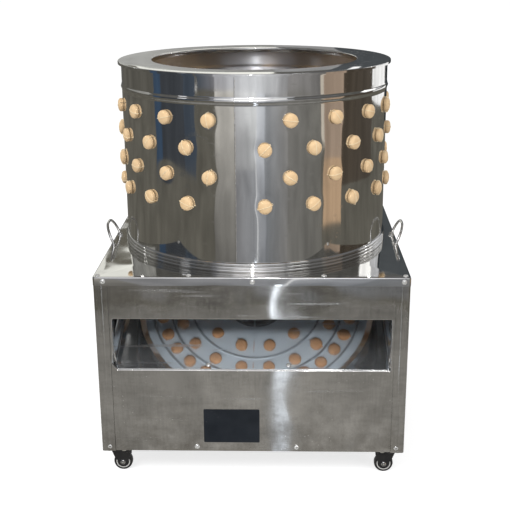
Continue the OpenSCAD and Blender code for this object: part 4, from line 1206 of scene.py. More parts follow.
@dataclass
class Panels:
    """The four sheets round the base and the folded lip of the feather outlet."""

    half: float = 276 * MM
    low: float = 50 * MM
    high: float = 387.5 * MM
    sheet: float = 1.5 * MM
    wrap: float = 23 * MM
    lip: float = 12 * MM
    fold: float = 2 * MM
    bend: float = 2.5 * MM
    end_x: float = 274.2 * MM

    @property
    def face_y(self) -> float:
        """Y of the front panel's outer face."""
        return -self.half + self.sheet

    def side(self, sign: int, node: str) -> None:
        """Builds one side sheet, which wraps onto the front and the rear.

        Args:
            sign: -1 for the left, 1 for the right.
            node: CAD node that it replaces.
        """
        h, w = self.half, self.wrap
        crease = 0.5 * MM
        line = [(h - w, -h), (h - 13.5 * MM, -h), (h - 12 * MM, -h - crease),
                (h - 10.5 * MM, -h), (h, -h), (h, h), (h - w, h)]
        path = rounded(line, self.bend, 5, closed=False)
        section = thickened([Vector((p.x, p.y)) for p in reversed(path)], -self.sheet)
        shape = Shape(f"{node}_folded")
        levels = [self.low, self.low + 90 * MM, self.low + 220 * MM, self.high]
        shape.loft([[(sign * p.x, p.y, z) for p in section] for z in levels], SATIN, caps=True)
        shape.piece("base", [node], sharp=40, bevel=0.25 * MM)

    def outlet(self, grow: float, y: float) -> list[Vector]:
        """Outline of the outlet at a depth, grown outward."""
        corners = [(-242, 212.4), (247.5, 212.4), (247.5, 309), (-247.5, 309), (-248.3, 243),
                   (-251.5, 225)]
        line = moved(mm(corners), grow, 2 * MM, 4)
        return [Vector((p.x, y, p.y)) for p in line]

    def front(self) -> None:
        """Builds the front sheet with the folded lip round its outlet."""
        x = self.end_x
        edge = self.outlet(self.fold, 0.0)
        hole = [(p.x, p.z) for p in edge]
        columns = [-x + 2 * x * i / 24 for i in range(25)]
        outline = [(c, self.low) for c in columns] + [(c, self.high) for c in reversed(columns)]
        blank = Blank(outline, [hole])
        face = self.face_y

        def form(u: np.ndarray, v: np.ndarray) -> np.ndarray:
            """Places of the sheet's flat face."""
            return np.stack((u, np.full_like(u, face), v), axis=1)

        data = blank.press("front_sheet", form, self.sheet, SATIN)
        show("front_sheet", data, "base", ["front_panel"])
        rings = []
        for k in range(7):
            a = math.radians(15 * k)
            rings.append(self.outlet(self.fold * (1 - math.sin(a)),
                                     face + self.fold * (1 - math.cos(a))))
        deep = face + self.lip
        inner = ((0, deep), (self.sheet, deep), (self.sheet, face + self.fold),
                 (self.fold, face + self.sheet))
        rings += [self.outlet(grow, y) for grow, y in inner]
        lip = Shape("outlet_lip")
        lip.loft(rings, SATIN, loop=True)
        lip.piece("base", sharp=40)

    def rear(self) -> None:
        """Builds the rear sheet with its folded top."""
        x, back = self.end_x, self.half - self.sheet
        path = rounded([(back, self.low), (back, self.high), (back - 16 * MM, self.high)],
                       self.bend, 5, closed=False)
        section = thickened(path, -self.sheet)
        shape = Shape("rear_sheet")
        columns = [-x, -x / 3, x / 3, x]
        shape.loft([[(c, p.x, p.y) for p in section] for c in columns], SATIN, caps=True)
        shape.piece("base", ["rear_panel"], sharp=40, bevel=0.25 * MM)

    def build(self) -> None:
        """Builds all four panels."""
        self.side(-1, "left_panel")
        self.side(1, "right_panel")
        self.front()
        self.rear()


@dataclass
class Chute:
    """Sloping chute under the plate: one bent sheet with upright walls and a centre crease."""

    half: float = 248.5 * MM
    front_y: float = -273 * MM
    sill_z: float = 214 * MM
    slope: float = 17.05
    long: float = 569.5 * MM
    wall: float = 45 * MM
    top_z: float = 385.6 * MM
    sheet: float = 1.5 * MM
    bend: float = 2.5 * MM
    guard_r: float = 28.1 * MM
    crease_x: float = 2 * MM
    crease_half: float = 1.2 * MM
    crease_slope: float = 0.3

    def form(self, u: np.ndarray, v: np.ndarray) -> np.ndarray:
        """Places of the chute's upper face, from width u and length v of the blank."""
        out = np.abs(u)
        flat = self.half - self.bend
        turn = np.clip((out - flat) / self.bend, 0, math.pi / 2)
        past = np.maximum(out - flat - self.bend * math.pi / 2, 0)
        across = np.where(out <= flat, out, flat + self.bend * np.sin(turn))
        lift = self.bend * (1 - np.cos(turn)) + past
        groove = np.maximum(self.crease_half - np.abs(u - self.crease_x), 0)
        lift = lift - self.crease_slope * groove
        a = math.radians(self.slope)
        y = self.front_y + v * math.cos(a) - lift * math.sin(a)
        z = self.sill_z + v * math.sin(a) + lift * math.cos(a)
        return np.stack((np.sign(u) * across, y, z), axis=1)

    def build(self) -> None:
        """Presses the chute and lines it round the guard."""
        a = math.radians(self.slope)
        grow = self.half - self.bend + self.bend * math.pi / 2
        start = 15 * MM
        full = grow + self.wall - self.bend
        trim = (self.top_z - self.sill_z - self.wall * math.cos(a)) / math.sin(a)
        spare = (self.top_z - self.sill_z - self.long * math.sin(a)) / math.cos(a)
        end = grow + max(spare - self.bend, MM)
        right = [(self.half - 3 * MM, 0.0), (self.half - 3 * MM, start), (full, start),
                 (full, trim), (end, self.long - 2 * MM)]
        outline = right + [(-x, y) for x, y in reversed(right)]
        middle = -self.front_y / math.cos(a)
        hole = [(x, middle + y / math.cos(a)) for x, y in circle(self.guard_r, 40)][::-1]
        lines = [self.crease_x + off * MM
                 for off in (-14, -8, -4, -1.8, -1.4, -1, 0, 1, 1.4, 1.8, 4, 8, 14)]
        bends = [self.half - self.bend + self.bend * math.radians(d) for d in (0, 22, 45, 68, 90)]
        lines += bends + [-b for b in bends] + [160 * MM, -160 * MM, 80 * MM, -80 * MM]
        marks = [(u, v * MM) for v in (1.5, 6, 12) for u in lines
                 if abs(u) < self.half - 6 * MM]
        for i in range(1, 24):
            v = self.long * i / 24
            for u in lines:
                if start < v < self.long - 4 * MM and abs(u) < full:
                    if math.hypot(u, (v - middle) * math.cos(a)) > self.guard_r + 3 * MM:
                        marks.append((u, v))
        data = Blank(outline, [hole], marks).press("chute_sheet", self.form, self.sheet, CHUTE)
        show("chute_sheet", data, "base", ["chute"])


@dataclass
class FingerPlate:
    """Turning plate with pressed swages and a hole for each finger."""

    radius: float = 232 * MM
    low: float = 392 * MM
    sheet: float = 3 * MM
    bore: float = 10.2 * MM
    swages: tuple[float, ...] = SWAGES
    swage_half: float = 3.2 * MM
    swage_deep: float = 1.9 * MM

    def form(self, u: np.ndarray, v: np.ndarray) -> np.ndarray:
        """Places of the upper face."""
        r = np.hypot(u, v)
        z = np.full_like(r, self.low + self.sheet)
        for ring in self.swages:
            t = np.clip((r - ring) / self.swage_half, -1, 1)
            z -= self.swage_deep * np.cos(t * math.pi / 2) ** 2
        return np.stack((u, v, z), axis=1)

    def build(self, spots: list[Point2]) -> None:
        """Presses the plate with a hole at each finger."""
        holes = [circle(HOLE_R, 20, spot)[::-1] for spot in spots]
        holes.append(circle(self.bore, 32)[::-1])
        marks = []
        for ring in self.swages:
            for off in (-4, -3.2, -2.4, -1.6, -0.8, 0, 0.8, 1.6, 2.4, 3.2, 4):
                marks += circle(ring + off * MM, 150)
        clear = np.array(spots)
        marks = [m for m in marks
                 if np.hypot(clear[:, 0] - m[0], clear[:, 1] - m[1]).min() > 10.6 * MM]
        blank = Blank(circle(self.radius, 240), holes, marks)
        data = blank.press("plate_pressed", self.form, self.sheet, PLATE)
        show("plate_pressed", data, "turntable", ["finger_plate"])


# Fittings


@dataclass
class DomeScrew:
    """Cross-recessed dome screw."""

    head_r: float = 4.5 * MM
    head_h: float = 2.6 * MM

    def build(self) -> Shape:
        """Makes the head along +Z, with its seat at z = 0.

        Returns:
            The screw's shape.
        """
        shape = Shape("screw")
        count = 32
        shares = (0.10, 0.24, 0.40, 0.46, 0.58, 0.72, 0.85, 0.95, 1.0, 1.0)
        rings: list[list[Vector]] = [[Vector((0, 0, self.head_h * 0.45))]]
        for k, share in enumerate(shares):
            radius = self.head_r * share
            dome = self.head_h * math.sqrt(max(0.0, 1 - (share * 0.94) ** 2))
            ring = []
            for i in range(count):
                a = 2 * math.pi * i / count
                arm = radius * min(abs(math.sin(a)), abs(math.cos(a))) < 0.14 * self.head_r
                z = dome - (self.head_h * 0.5 if arm and k < 3 else 0.0)
                z = 0.0 if k == len(shares) - 1 else z
                ring.append(Vector((radius * math.cos(a), radius * math.sin(a), z)))
            rings.append(ring)
        rings.append([Vector((0, 0, 0))])
        shape.loft(rings, SCREW)
        return shape


class Fasteners:
    """Screws on the sheets, placed on the solids of their CAD nodes."""

    SHORT = 8 * MM
    WRAP_X = 250 * MM

    def __init__(self, cover: Cover, panels: Panels, chute: Chute) -> None:
        """Keeps the sheets that the screws sit on."""
        self.cover = cover
        self.panels = panels
        self.chute = chute
        self.chance = random.Random(29)

    def seat(self, low: Vector, high: Vector, node: str) -> tuple[Vector, Vector]:
        """Where a screw's head meets its sheet.

        Args:
            low: Lowest corner of the screw's solid.
            high: Highest corner of it.
            node: CAD node that the screw belongs to.

        Returns:
            The place on the sheet and the outward direction.
        """
        middle = (low + high) / 2
        if node == "cover_screws":
            return Vector((middle.x, middle.y, self.cover.top)), Vector(Side.TOP.value)
        if node == "chute_screws":
            a = math.radians(self.chute.slope)
            out = Vector((0, -math.sin(a), math.cos(a)))
            lead = (middle.y - self.chute.front_y) * math.tan(a)
            return Vector((middle.x, middle.y, self.chute.sill_z + lead)), out
        plane = self.cover.half if node == "skirt_screws" else self.panels.half
        across = high.x - low.x > self.SHORT and high.y - low.y < self.SHORT
        if abs(middle.y) > abs(middle.x) or across:
            side = Side.FRONT if middle.y < 0 else Side.REAR
            if node == "panel_screws" and abs(middle.x) < self.WRAP_X:
                plane -= self.panels.sheet
            return Vector((middle.x, side.value[1] * plane, middle.z)), Vector(side.value)
        side = Side.LEFT if middle.x < 0 else Side.RIGHT
        return Vector((side.value[0] * plane, middle.y, middle.z)), Vector(side.value)

    def build(self) -> None:
        """Builds every set of screws."""
        head = DomeScrew().build()
        for node in ("cover_screws", "skirt_screws", "panel_screws", "chute_screws"):
            shape = Shape(f"{node}_domed")
            for low, high in islands(node):
                place, out = self.seat(low, high, node)
                turn = Matrix.Rotation(self.chance.uniform(0, math.pi), 4, "Z")
                shape.stamp(head, facing(place, out) @ turn)
            shape.piece("base", [node], sharp=38)


@dataclass
class Handles:
    """Bent rod handles on round feet, leaning outward over the cover's sides."""

    foot_x: float = 272 * MM
    middle_y: float = -44 * MM
    length: float = 77 * MM
    rise: float = 36 * MM
    lean: float = 23.0
    bend: float = 31 * MM
    rod_r: float = 2.5 * MM
    top: float = 389 * MM

    def build(self) -> None:
        """Builds both handles."""
        lean = math.radians(self.lean)
        foot = mm([(0, 0), (4.6, 0), (5, 0.4), (5, 1.5), (4.7, 2.1), (3.8, 2.5), (3.0, 3.2),
                   (0, 3.2)])
        for sign, node in ((-1, "handle_left"), (1, "handle_right")):
            up = Vector((sign * math.sin(lean), 0, math.cos(lean)))
            ends = [Vector((sign * self.foot_x, self.middle_y + s * self.length / 2,
                            self.top + self.rod_r)) for s in (-1, 1)]
            line = [ends[0], ends[0] + up * self.rise, ends[1] + up * self.rise, ends[1]]
            path = rounded([tuple(p) for p in line], self.bend, 12, closed=False)
            shape = Shape(f"{node}_rod")
            shape.tube([path[0] - up * 2 * MM, *path, path[-1] - up * 2 * MM], self.rod_r, BRIGHT)
            for end in ends:
                base = Matrix.Translation((end.x, end.y, self.top))
                shape.lathe(foot, BRIGHT, 28, base)
            shape.piece("base", [node], sharp=45)


@dataclass
class RatingPlate:
    """Bare dark plate on the front panel with a raised edge."""

    def build(self) -> None:
        """Builds the plate in the place of its CAD node."""
        low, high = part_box("label_plate")
        corners = [(low.x, low.z), (high.x, low.z), (high.x, high.z), (low.x, high.z)]
        shape = Shape("rating_plate")
        rings = []
        for grow, y in ((0.0, high.y), (0.0, low.y + 0.2 * MM), (-0.25 * MM, low.y),
                        (-1.4 * MM, low.y), (-1.7 * MM, low.y + 0.12 * MM)):
            line = moved(corners, grow, 2 * MM, 5)
            rings.append([(p.x, y, p.y) for p in line])
        shape.loft(rings, PLATE_PAINT, caps=True)
        shape.piece("base", ["label_plate"], sharp=30)


@dataclass
class SwitchBox:
    """Switch box on the right panel with its lid seam, collars and two push buttons."""

    button_r: float = 11 * MM
    button_deep: float = 9 * MM
    well_r: float = 11.3 * MM
    well_deep: float = 12.5 * MM

    def box(self) -> None:
        """Builds the box with a well for each button."""
        low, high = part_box("switch_box")
        corners = [(low.y, low.z), (high.y, low.z), (high.y, high.z), (low.y, high.z)]
        shape = Shape("switch_case")
        seam = low.x + 8.5 * MM
        levels = [(0.0, low.x), (0.0, seam - 0.5 * MM), (-0.7 * MM, seam - 0.3 * MM),
                  (-0.7 * MM, seam + 0.3 * MM), (0.0, seam + 0.5 * MM), (0.0, high.x - 2 * MM),
                  (-0.6 * MM, high.x - 0.6 * MM), (-2 * MM, high.x)]
        rings = []
        for grow, x in levels:
            line = moved(corners, grow, 6 * MM, 6)
            rings.append([(x, p.x, p.y) for p in line])
        rows = shape.loft(rings, BOX_GREY)
        shape.face(rows[0][::-1], BOX_GREY)
        spots = [sum(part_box(node), Vector()) / 2 for node in ("start_button", "stop_button")]
        wells = [circle(self.well_r, 48, (spot.y, spot.z)) for spot in spots]
        flat, trios = Blank([(y, z) for _, y, z in rings[-1]], wells).triangles()
        front = rows[-1] + shape.ring((high.x, y, z) for y, z in flat[len(rows[-1]):])
        for trio in trios:
            shape.face((front[i] for i in trio), BOX_GREY)
        for k, (spot, well) in enumerate(zip(spots, wells)):
            start = len(rows[-1]) + k * len(well)
            floor = shape.ring((high.x - self.well_deep, y, z) for y, z in well)
            shape.band(front[start:start + len(well)], floor, NYLON)
            shape.face(floor, NYLON)
            at = facing((high.x, spot.y, spot.z), Side.RIGHT.value)
            line = [(11.3, -0.4), (11.3, 1.0), (11.7, 1.4), (13.4, 1.4), (14.2, 0.8), (14.4, -0.4)]
            shape.lathe(mm(line), NYLON, 48, at, loop=True)
        for y in (low.y + 7 * MM, high.y - 7 * MM):
            for z in (low.z + 7 * MM, high.z - 7 * MM):
                shape.stamp(DomeScrew(2.6 * MM, 1.2 * MM).build(),
                            facing((high.x - 0.1 * MM, y, z), Side.RIGHT.value))
        shape.piece("base", ["switch_box"], sharp=40)

    def button(self, node: str, body: str, finish: Finish) -> None:
        """Builds one push button with a dished face.

        Args:
            node: CAD node that it replaces.
            body: Body that it rides on.
            finish: The button's finish.
        """
        low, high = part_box(node)
        at = facing((high.x, (low.y + high.y) / 2, (low.z + high.z) / 2), Side.RIGHT.value)
        r = self.button_r
        deep = self.button_deep
        line = [(0, -0.7 * MM), (r * 0.45, -0.5 * MM), (r * 0.78, -0.05 * MM), (r * 0.86, 0),
                (r * 0.94, -0.3 * MM), (r, -1.1 * MM), (r, -deep), (0, -deep)]
        shape = Shape(f"{node}_cap")
        shape.lathe(line, finish, 48, at)
        shape.piece(body, [node], sharp=40)

    def build(self) -> None:
        """Builds the box and both buttons."""
        self.box()
        self.button("start_button", "start", GREEN)
        self.button("stop_button", "stop", RED)


@dataclass
class Casters:
    """Caster wheels with tyre, light race and hub, and the axle bolts on their forks."""

    radius: float = 17.5 * MM
    width: float = 14 * MM
    fork_out: float = 10 * MM

    def wheel(self, corner: Corner) -> None:
        """Builds one wheel on its own body."""
        name = corner.value[0]
        low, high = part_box(f"caster_wheel_{name}")
        at = facing((low + high) / 2, Side.REAR.value)
        w, r = self.width / 2 / MM, self.radius / MM
        half = [(4.2, w), (7.0, w), (7.4, w - 0.5), (10.6, w - 0.9), (11.0, w - 0.2),
                (12.8, w - 0.2), (13.2, w - 0.8), (14.2, w - 0.6), (15.6, w - 0.4),
                (16.8, w - 1.4), (r - 0.1, w - 3.2), (r, 0.0)]
        line = half + [(a, -b) for a, b in half[-2::-1]]
        coats = [TREAD] * 4 + [RACE] + [TREAD] * (len(line) - 11) + [RACE] + [TREAD] * 5
        shape = Shape(f"caster_wheel_{name}_turned")
        shape.lathe(mm(line), coats[:len(line)], 56, at, loop=True)
        shape.piece(f"wheel_{name}", [f"caster_wheel_{name}"], sharp=40)

    def axle(self, corner: Corner) -> None:
        """Builds the axle bolt's head and nut on the fork's cheeks."""
        name = corner.value[0]
        low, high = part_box(f"caster_wheel_{name}")
        middle = (low + high) / 2
        shape = Shape(f"caster_axle_{name}")
        head = mm([(0, 2.2), (1.4, 2.15), (2.6, 1.8), (3.6, 1.1), (4.0, 0.6), (4.4, 0.4),
                   (4.4, 0), (0, 0)])
        for side in (Side.FRONT, Side.REAR):
            seat = middle + Vector(side.value) * self.fork_out
            shape.lathe(head, BRIGHT, 28, facing(seat, side.value))
        shape.piece(f"fork_{name}", sharp=40)

    def build(self) -> None:
        """Builds all four casters' wheels and axles."""
        for corner in Corner:
            self.wheel(corner)
            self.axle(corner)


class CarriedOver:
    """CAD nodes whose shape is right: they keep it and get a finish and softened edges."""

    COATS: dict[Finish, tuple[str, ...]] = {
        PRIMER: ("bottom_frame", "corner_posts", "bearing_beams", "motor_beams", "motor_plate"),
        CAST: ("bearing_housing", "plate_hub", "driven_pulley", "motor_pulley"),
        GROUND: ("bearings", "main_shaft", "motor_shaft"),
        ENAMEL: ("motor_body", "motor_fan_cover", "motor_terminal_box"),
        BLACK_RUBBER: ("shaft_seal", "drive_belt"),
        SCREW: ("drive_bolts",),
        ZINC: ("hub_bolts", "pulley_bolt", "caster_bolts"),
        BRIGHT: ("hub_nut",),
        CHUTE: ("shaft_guard",),
        NYLON: ("cable_gland",),
        CASTER: ("caster_plates", *(f"caster_fork_{c.value[0]}" for c in Corner)),
    }

    def build(self) -> None:
        """Dresses each node."""
        for finish, nodes in self.COATS.items():
            for node in nodes:
                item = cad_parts[node]
                item.data.materials.clear()
                item.data.materials.append(dress(finish))
                soften(item, 0.3 * MM)
                LOG.info("%s: carried over in %s", node, finish.name)


# Studio


@dataclass(frozen=True)
class Card:
    """A patch of room that the steel mirrors: a sector of floor or wall, shaded along and out."""

    start: float
    end: float
    near: float
    far: float
    low: float
    high: float
    tone: Colour
    last: Colour | None = None
    rise: float = 1.0

    def quads(self) -> list[tuple[list[Vector], list[Colour]]]:
        """Corner points of the patch's strips, with the tone at each corner."""
        parts = max(1, round(abs(self.end - self.start) / 4))
        shares = [i / parts for i in range(parts + 1)]
        strips = []
        for a, b in zip(shares, shares[1:]):
            turns = [self.start + (self.end - self.start) * t for t in (a, b)]
            spots = [polar(self.near, turns[0], self.low), polar(self.near, turns[1], self.low),
                     polar(self.far, turns[1], self.high), polar(self.far, turns[0], self.high)]
            inner = [Vector(self.tone).lerp(Vector(self.last or self.tone), t) for t in (a, b)]
            outer = [tone * self.rise for tone in reversed(inner)]
            strips.append((spots, inner + outer))
        return strips


def floor_card(start: float, end: float, near: float, far: float, tone: Colour,
               last: Colour | None = None, rise: float = 1.0, lift: float = 4.0) -> Card:
    """Sector of the floor, lifted a little in millimetres."""
    return Card(start, end, near, far, lift * MM, lift * MM, tone, last, rise)


def wall_card(start: float, end: float, radius: float, low: float, high: float, tone: Colour,
              last: Colour | None = None, rise: float = 1.0) -> Card:
    """Upright patch of wall."""
    return Card(start, end, radius, radius, low, high, tone, last, rise)


class Studio:
    """White room, pale floor, soft lamps, the room's reflections and the photo's camera."""

    CARDS: tuple[Card, ...] = (
        floor_card(-180, 180, 0.30, 1.20, (0.40, 0.39, 0.37), rise=0.52, lift=1.0),
        floor_card(-180, 180, 1.20, 5.2, (0.135, 0.128, 0.108), lift=2.0),
        floor_card(-180, 180, 0.0, 5.4, (0.16, 0.16, 0.165), lift=3200.0),
        wall_card(-180, 180, 5.4, 0.0, 3.2, (0.12, 0.118, 0.11)),
        floor_card(-31, -15, 1.3, 5.2, (0.145, 0.14, 0.13), rise=4.8),
        floor_card(-15, 3.2, 1.3, 3.0, (0.25, 0.25, 0.26), (0.30, 0.31, 0.33), 1.2),
        floor_card(-15, 3.2, 3.0, 5.2, (0.30, 0.30, 0.31), (0.44, 0.45, 0.46), 2.4),
        floor_card(3.2, 3.8, 1.3, 5.2, (0.80, 0.81, 0.83)),
        floor_card(3.8, 10, 1.3, 5.2, (0.27, 0.28, 0.30), (0.22, 0.23, 0.25), 3.4),
        floor_card(10, 28, 1.3, 5.2, (0.20, 0.21, 0.225), (0.21, 0.205, 0.20), 1.9),
        floor_card(28, 57, 1.3, 5.2, (0.20, 0.195, 0.185), (0.17, 0.165, 0.15), 1.2),
        wall_card(-46, -31, 5.2, 0.0, 1.2, (0.10, 0.12, 0.15), (0.20, 0.20, 0.22)),
        wall_card(-31, 4, 5.2, 0.0, 1.2, (0.40, 0.40, 0.43), (0.84, 0.86, 0.90)),
        wall_card(4, 28, 5.2, 0.0, 1.2, (0.84, 0.86, 0.90), (0.36, 0.36, 0.37)),
        wall_card(28, 62, 5.2, 0.0, 1.2, (0.34, 0.33, 0.33), (0.17, 0.165, 0.16)),
        wall_card(-64, -56, 5.2, 1.3, 2.8, (0.95, 0.96, 1.0)),
        wall_card(-36, 2, 5.2, 1.2, 3.2, (0.30, 0.31, 0.35), (1.10, 1.12, 1.16)),
        wall_card(2, 34, 5.2, 1.2, 3.2, (1.10, 1.12, 1.16), (0.40, 0.41, 0.43)),
        wall_card(55, 58, 1.87, 0.28, 0.60, (0.60, 0.54, 0.46)),
        wall_card(58, 76, 1.85, 0.0, 0.22, (0.56, 0.39, 0.25)),
        wall_card(58, 76, 1.85, 0.22, 0.75, (0.42, 0.32, 0.245)),
        wall_card(76, 116, 2.4, 0.0, 1.0, (0.075, 0.06, 0.045), (0.10, 0.085, 0.07)),
        wall_card(117, 148, 4.5, 0.0, 0.7, (1.1, 1.1, 1.1)),
        wall_card(105, 126, 4.7, 1.2, 2.8, (1.7, 1.7, 1.7)),
        wall_card(126, 150, 4.7, 1.2, 2.8, (0.70, 0.71, 0.74)),
        wall_card(151, 164, 3.6, 0.0, 2.4, (0.03, 0.035, 0.04)),
        wall_card(-80, -57, 2.75, 0.0, 1.1, (0.056, 0.062, 0.072)),
        wall_card(-57, -47, 2.75, 0.0, 1.1, (0.065, 0.082, 0.108)),
        wall_card(-88, -80, 2.75, 0.0, 1.1, (0.05, 0.082, 0.135)),
        wall_card(-150, -88, 4.5, 0.0, 1.2, (0.12, 0.115, 0.10)),
        wall_card(-146, -96, 4.6, 1.2, 2.8, (0.26, 0.26, 0.25), (0.40, 0.40, 0.38)),
        wall_card(-180, -163, 4.5, 0.0, 1.45, (0.24, 0.24, 0.23), (0.55, 0.55, 0.53)),
        wall_card(-180, -152, 4.6, 1.45, 3.2, (1.05, 1.05, 0.98)),
        wall_card(-168, -163, 4.4, 1.45, 1.72, (0.14, 0.13, 0.105)),
        wall_card(164, 175, 4.5, 0.0, 2.6, (0.04, 0.044, 0.047), rise=2.6),
        wall_card(175, 180, 4.5, 0.0, 1.45, (0.30, 0.30, 0.30)),
        wall_card(172.4, 173.4, 4.4, 1.45, 2.4, (1.2, 1.2, 1.2)),
        floor_card(-34, 30, 2.4, 5.2, (1.0, 1.0, 1.02), lift=3195.0),
        wall_card(-20, -13, 5.15, 1.4, 3.2, (0.6, 0.6, 0.65), (2.3, 2.3, 2.4)),
        wall_card(-13, 6, 5.15, 1.4, 3.2, (2.3, 2.3, 2.4)),
        wall_card(6, 17, 5.15, 1.4, 3.2, (2.3, 2.3, 2.4), (0.5, 0.5, 0.55)),
        wall_card(-1.0, 0.6, 5.1, 1.4, 3.2, (24.0, 24.0, 24.5)),
        floor_card(40, 60, 1.8, 2.4, (3.0, 3.0, 3.0), lift=3190.0),
        wall_card(-124, -121, 5.1, 2.0, 3.2, (16.0, 16.0, 16.0)),
        wall_card(121, 124, 5.1, 2.0, 3.2, (16.0, 16.0, 16.0)),
    )

    GLARE = ((0.036, -1.5, 2.6), (0.068, -1.5, 2.6), (0.068, -0.33, 0.8), (0.036, -0.33, 0.8))
    GLARE_TINT = (0.86, 0.93, 1.03)
    GLARE_Z = 6 * MM

    LAMPS = (
        ("key", (-1.5, -2.2, 2.8), (0, 0, 0.45), 1.6, 68),
        ("fill", (1.8, -1.8, 1.6), (0, 0, 0.4), 1.8, 22),
        ("outlet_strip", (0, -0.492, 0.02), (0, -0.218, 0.32), 0.012, 0.24, 0.46, 34),
    )

    EYE = (0.0543, -1.8876, 0.9342)
    YAW, PITCH, ROLL = -0.0293, 0.3034, -0.0068
    LENS = 69.06

    def world(self) -> None:
        """White surroundings that give a little less light than they show."""
        world = bpy.data.worlds.new("room")
        bpy.context.scene.world = world
        world.use_nodes = True
        graph = Graph(world.node_tree)
        rays = graph.add("ShaderNodeLightPath").outputs
        shown = graph.math("MAXIMUM", rays["Is Camera Ray"], rays["Is Glossy Ray"])
        shown = graph.math("MAXIMUM", shown, rays["Is Transmission Ray"])
        back = next(n for n in world.node_tree.nodes if n.type == "BACKGROUND")
        back.inputs["Color"].default_value = (1, 1, 1, 1)
        graph.feed(back.inputs["Strength"], graph.math("MULTIPLY_ADD", shown, 0.45, 0.55))

    def floor(self) -> None:
        """Pale floor that reads white and keeps the object's shadow."""
        data = bpy.data.meshes.new("floor")
        reach = 40.0
        data.from_pydata([(-reach, -reach, 0), (reach, -reach, 0), (reach, reach, 0),
                          (-reach, reach, 0)], [], [(0, 1, 2, 3)])
        material = bpy.data.materials.new("floor_paper")
        material.use_nodes = True
        graph = Graph(material.node_tree)
        graph.tree.nodes.clear()
        rays = graph.add("ShaderNodeLightPath").outputs
        shown = graph.math("MAXIMUM", rays["Is Camera Ray"], rays["Is Glossy Ray"])
        paper = graph.add("ShaderNodeBsdfDiffuse", {"Color": (0.55, 0.55, 0.55)}).outputs[0]
        glow = graph.add("ShaderNodeEmission",
                         {"Strength": graph.math("MULTIPLY", shown, 0.72)}).outputs[0]
        both = graph.add("ShaderNodeAddShader", {0: paper, 1: glow}).outputs[0]
        graph.add("ShaderNodeOutputMaterial", {"Surface": both})
        data.materials.append(material)
        item = bpy.data.objects.new("floor", data)
        bpy.context.scene.collection.objects.link(item)

    def cards(self) -> None:
        """The room as the steel mirrors it, seen by reflections only."""
        strips = [strip for card in self.CARDS for strip in card.quads()]
        strips.append(([Vector((x, y, self.GLARE_Z)) for x, y, _ in self.GLARE],
                       [Vector(self.GLARE_TINT) * tone for *_, tone in self.GLARE]))
        verts = [spot for spots, _ in strips for spot in spots]
        faces = [tuple(range(i, i + 4)) for i in range(0, len(verts), 4)]
        data = bpy.data.meshes.new("room_cards")
        data.from_pydata(verts, [], faces)
        layer = data.color_attributes.new("tone", "FLOAT_COLOR", "CORNER")
        values = [(*tone, 1.0) for _, tones in strips for tone in tones]
        layer.data.foreach_set("color", [c for value in values for c in value])
        material = bpy.data.materials.new("room_tones")
        material.use_nodes = True
        graph = Graph(material.node_tree)
        graph.tree.nodes.clear()
        tone = graph.add("ShaderNodeAttribute", attribute_name="tone").outputs["Color"]
        spot = graph.add("ShaderNodeTexCoord").outputs["Object"]
        x, y, z = graph.add("ShaderNodeSeparateXYZ", {0: spot}).outputs
        turn = graph.math("MULTIPLY", graph.math("ARCTAN2", x, y), 9.0)
        reach = graph.math("SQRT", graph.math("ADD", graph.math("MULTIPLY", x, x),
                                              graph.math("MULTIPLY", y, y)))
        streaks = graph.add("ShaderNodeCombineXYZ", {0: turn, 1: reach, 2: z}).outputs[0]
        cloud = graph.span(graph.noise(streaks, 1.0, 5.0, 0.6), 0.28, 0.72)
        strength = graph.math("MULTIPLY_ADD", cloud, 0.5, 0.75)
        glow = graph.add("ShaderNodeEmission", {"Color": tone, "Strength": strength}).outputs[0]
        graph.add("ShaderNodeOutputMaterial", {"Surface": glow})
        data.materials.append(material)
        item = bpy.data.objects.new("room_cards", data)
        bpy.context.scene.collection.objects.link(item)
        item.visible_camera = item.visible_diffuse = item.visible_shadow = False
        item.visible_transmission = False

    def lamp(self, name: str, place: Sequence[float], aim: Sequence[float], size: float,
             power: float, width: float = 0.0, spread: float = 180.0) -> None:
        """Adds one soft lamp.

        Args:
            name: Name of the lamp.
            place: Where it hangs.
            aim: Point that it looks at.
            size: Side of its square, or its height if it is a strip.
            power: Watts.
            width: Width of a strip, or 0 for a square.
            spread: Angle of its beam in degrees.
        """
        data = bpy.data.lights.new(name, "AREA")
        data.shape = "RECTANGLE"
        data.size = width or size
        data.size_y = size
        data.energy = power
        data.spread = math.radians(spread)
        item = bpy.data.objects.new(name, data)
        bpy.context.scene.collection.objects.link(item)
        item.matrix_world = facing(place, Vector(place) - Vector(aim))
        item.visible_camera = item.visible_glossy = False

    def camera(self) -> None:
        """Camera at the photo's place and angle."""
        yaw, pitch, roll = self.YAW, self.PITCH, self.ROLL
        ahead = Vector((math.sin(yaw) * math.cos(pitch), math.cos(yaw) * math.cos(pitch),
                        -math.sin(pitch)))
        level = Vector((math.cos(yaw), -math.sin(yaw), 0))
        upright = level.cross(ahead)
        right = level * math.cos(roll) + upright * math.sin(roll)
        up = upright * math.cos(roll) - level * math.sin(roll)
        data = bpy.data.cameras.new("photo_view")
        data.sensor_width = 36.0
        data.lens = self.LENS
        item = bpy.data.objects.new("photo_view", data)
        bpy.context.scene.collection.objects.link(item)
        turn = Matrix((right, up, -ahead)).transposed().to_4x4()
        item.matrix_world = Matrix.Translation(self.EYE) @ turn
        bpy.context.scene.camera = item

    def build(self) -> None:
        """Sets up the room, the lamps, the camera and the view settings."""
        self.world()
        self.floor()
        self.cards()
        for lamp in self.LAMPS:
            self.lamp(*lamp)
        self.camera()
        bpy.context.scene.view_settings.view_transform = "Standard"


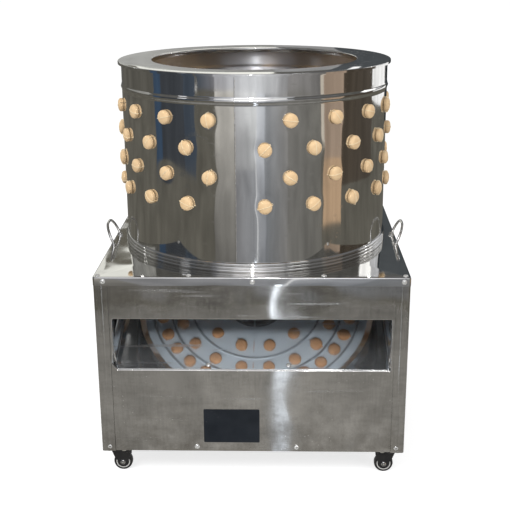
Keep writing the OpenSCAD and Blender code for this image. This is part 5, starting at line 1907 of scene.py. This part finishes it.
def main() -> None:
    """Builds every piece, then the studio."""
    logging.basicConfig(level=logging.INFO, format="%(name)s: %(message)s")
    fingers = FingerSets(252 * MM, 392 * MM)
    fingers.wall()
    fingers.plate()
    Drum(spots=fingers.wall_spots).build()
    cover, panels, chute = Cover(), Panels(), Chute()
    cover.build()
    panels.build()
    chute.build()
    FingerPlate().build(fingers.plate_spots)
    Fasteners(cover, panels, chute).build()
    Handles().build()
    RatingPlate().build()
    SwitchBox().build()
    Casters().build()
    CarriedOver().build()
    Studio().build()


if __name__ == "__main__":
    main()
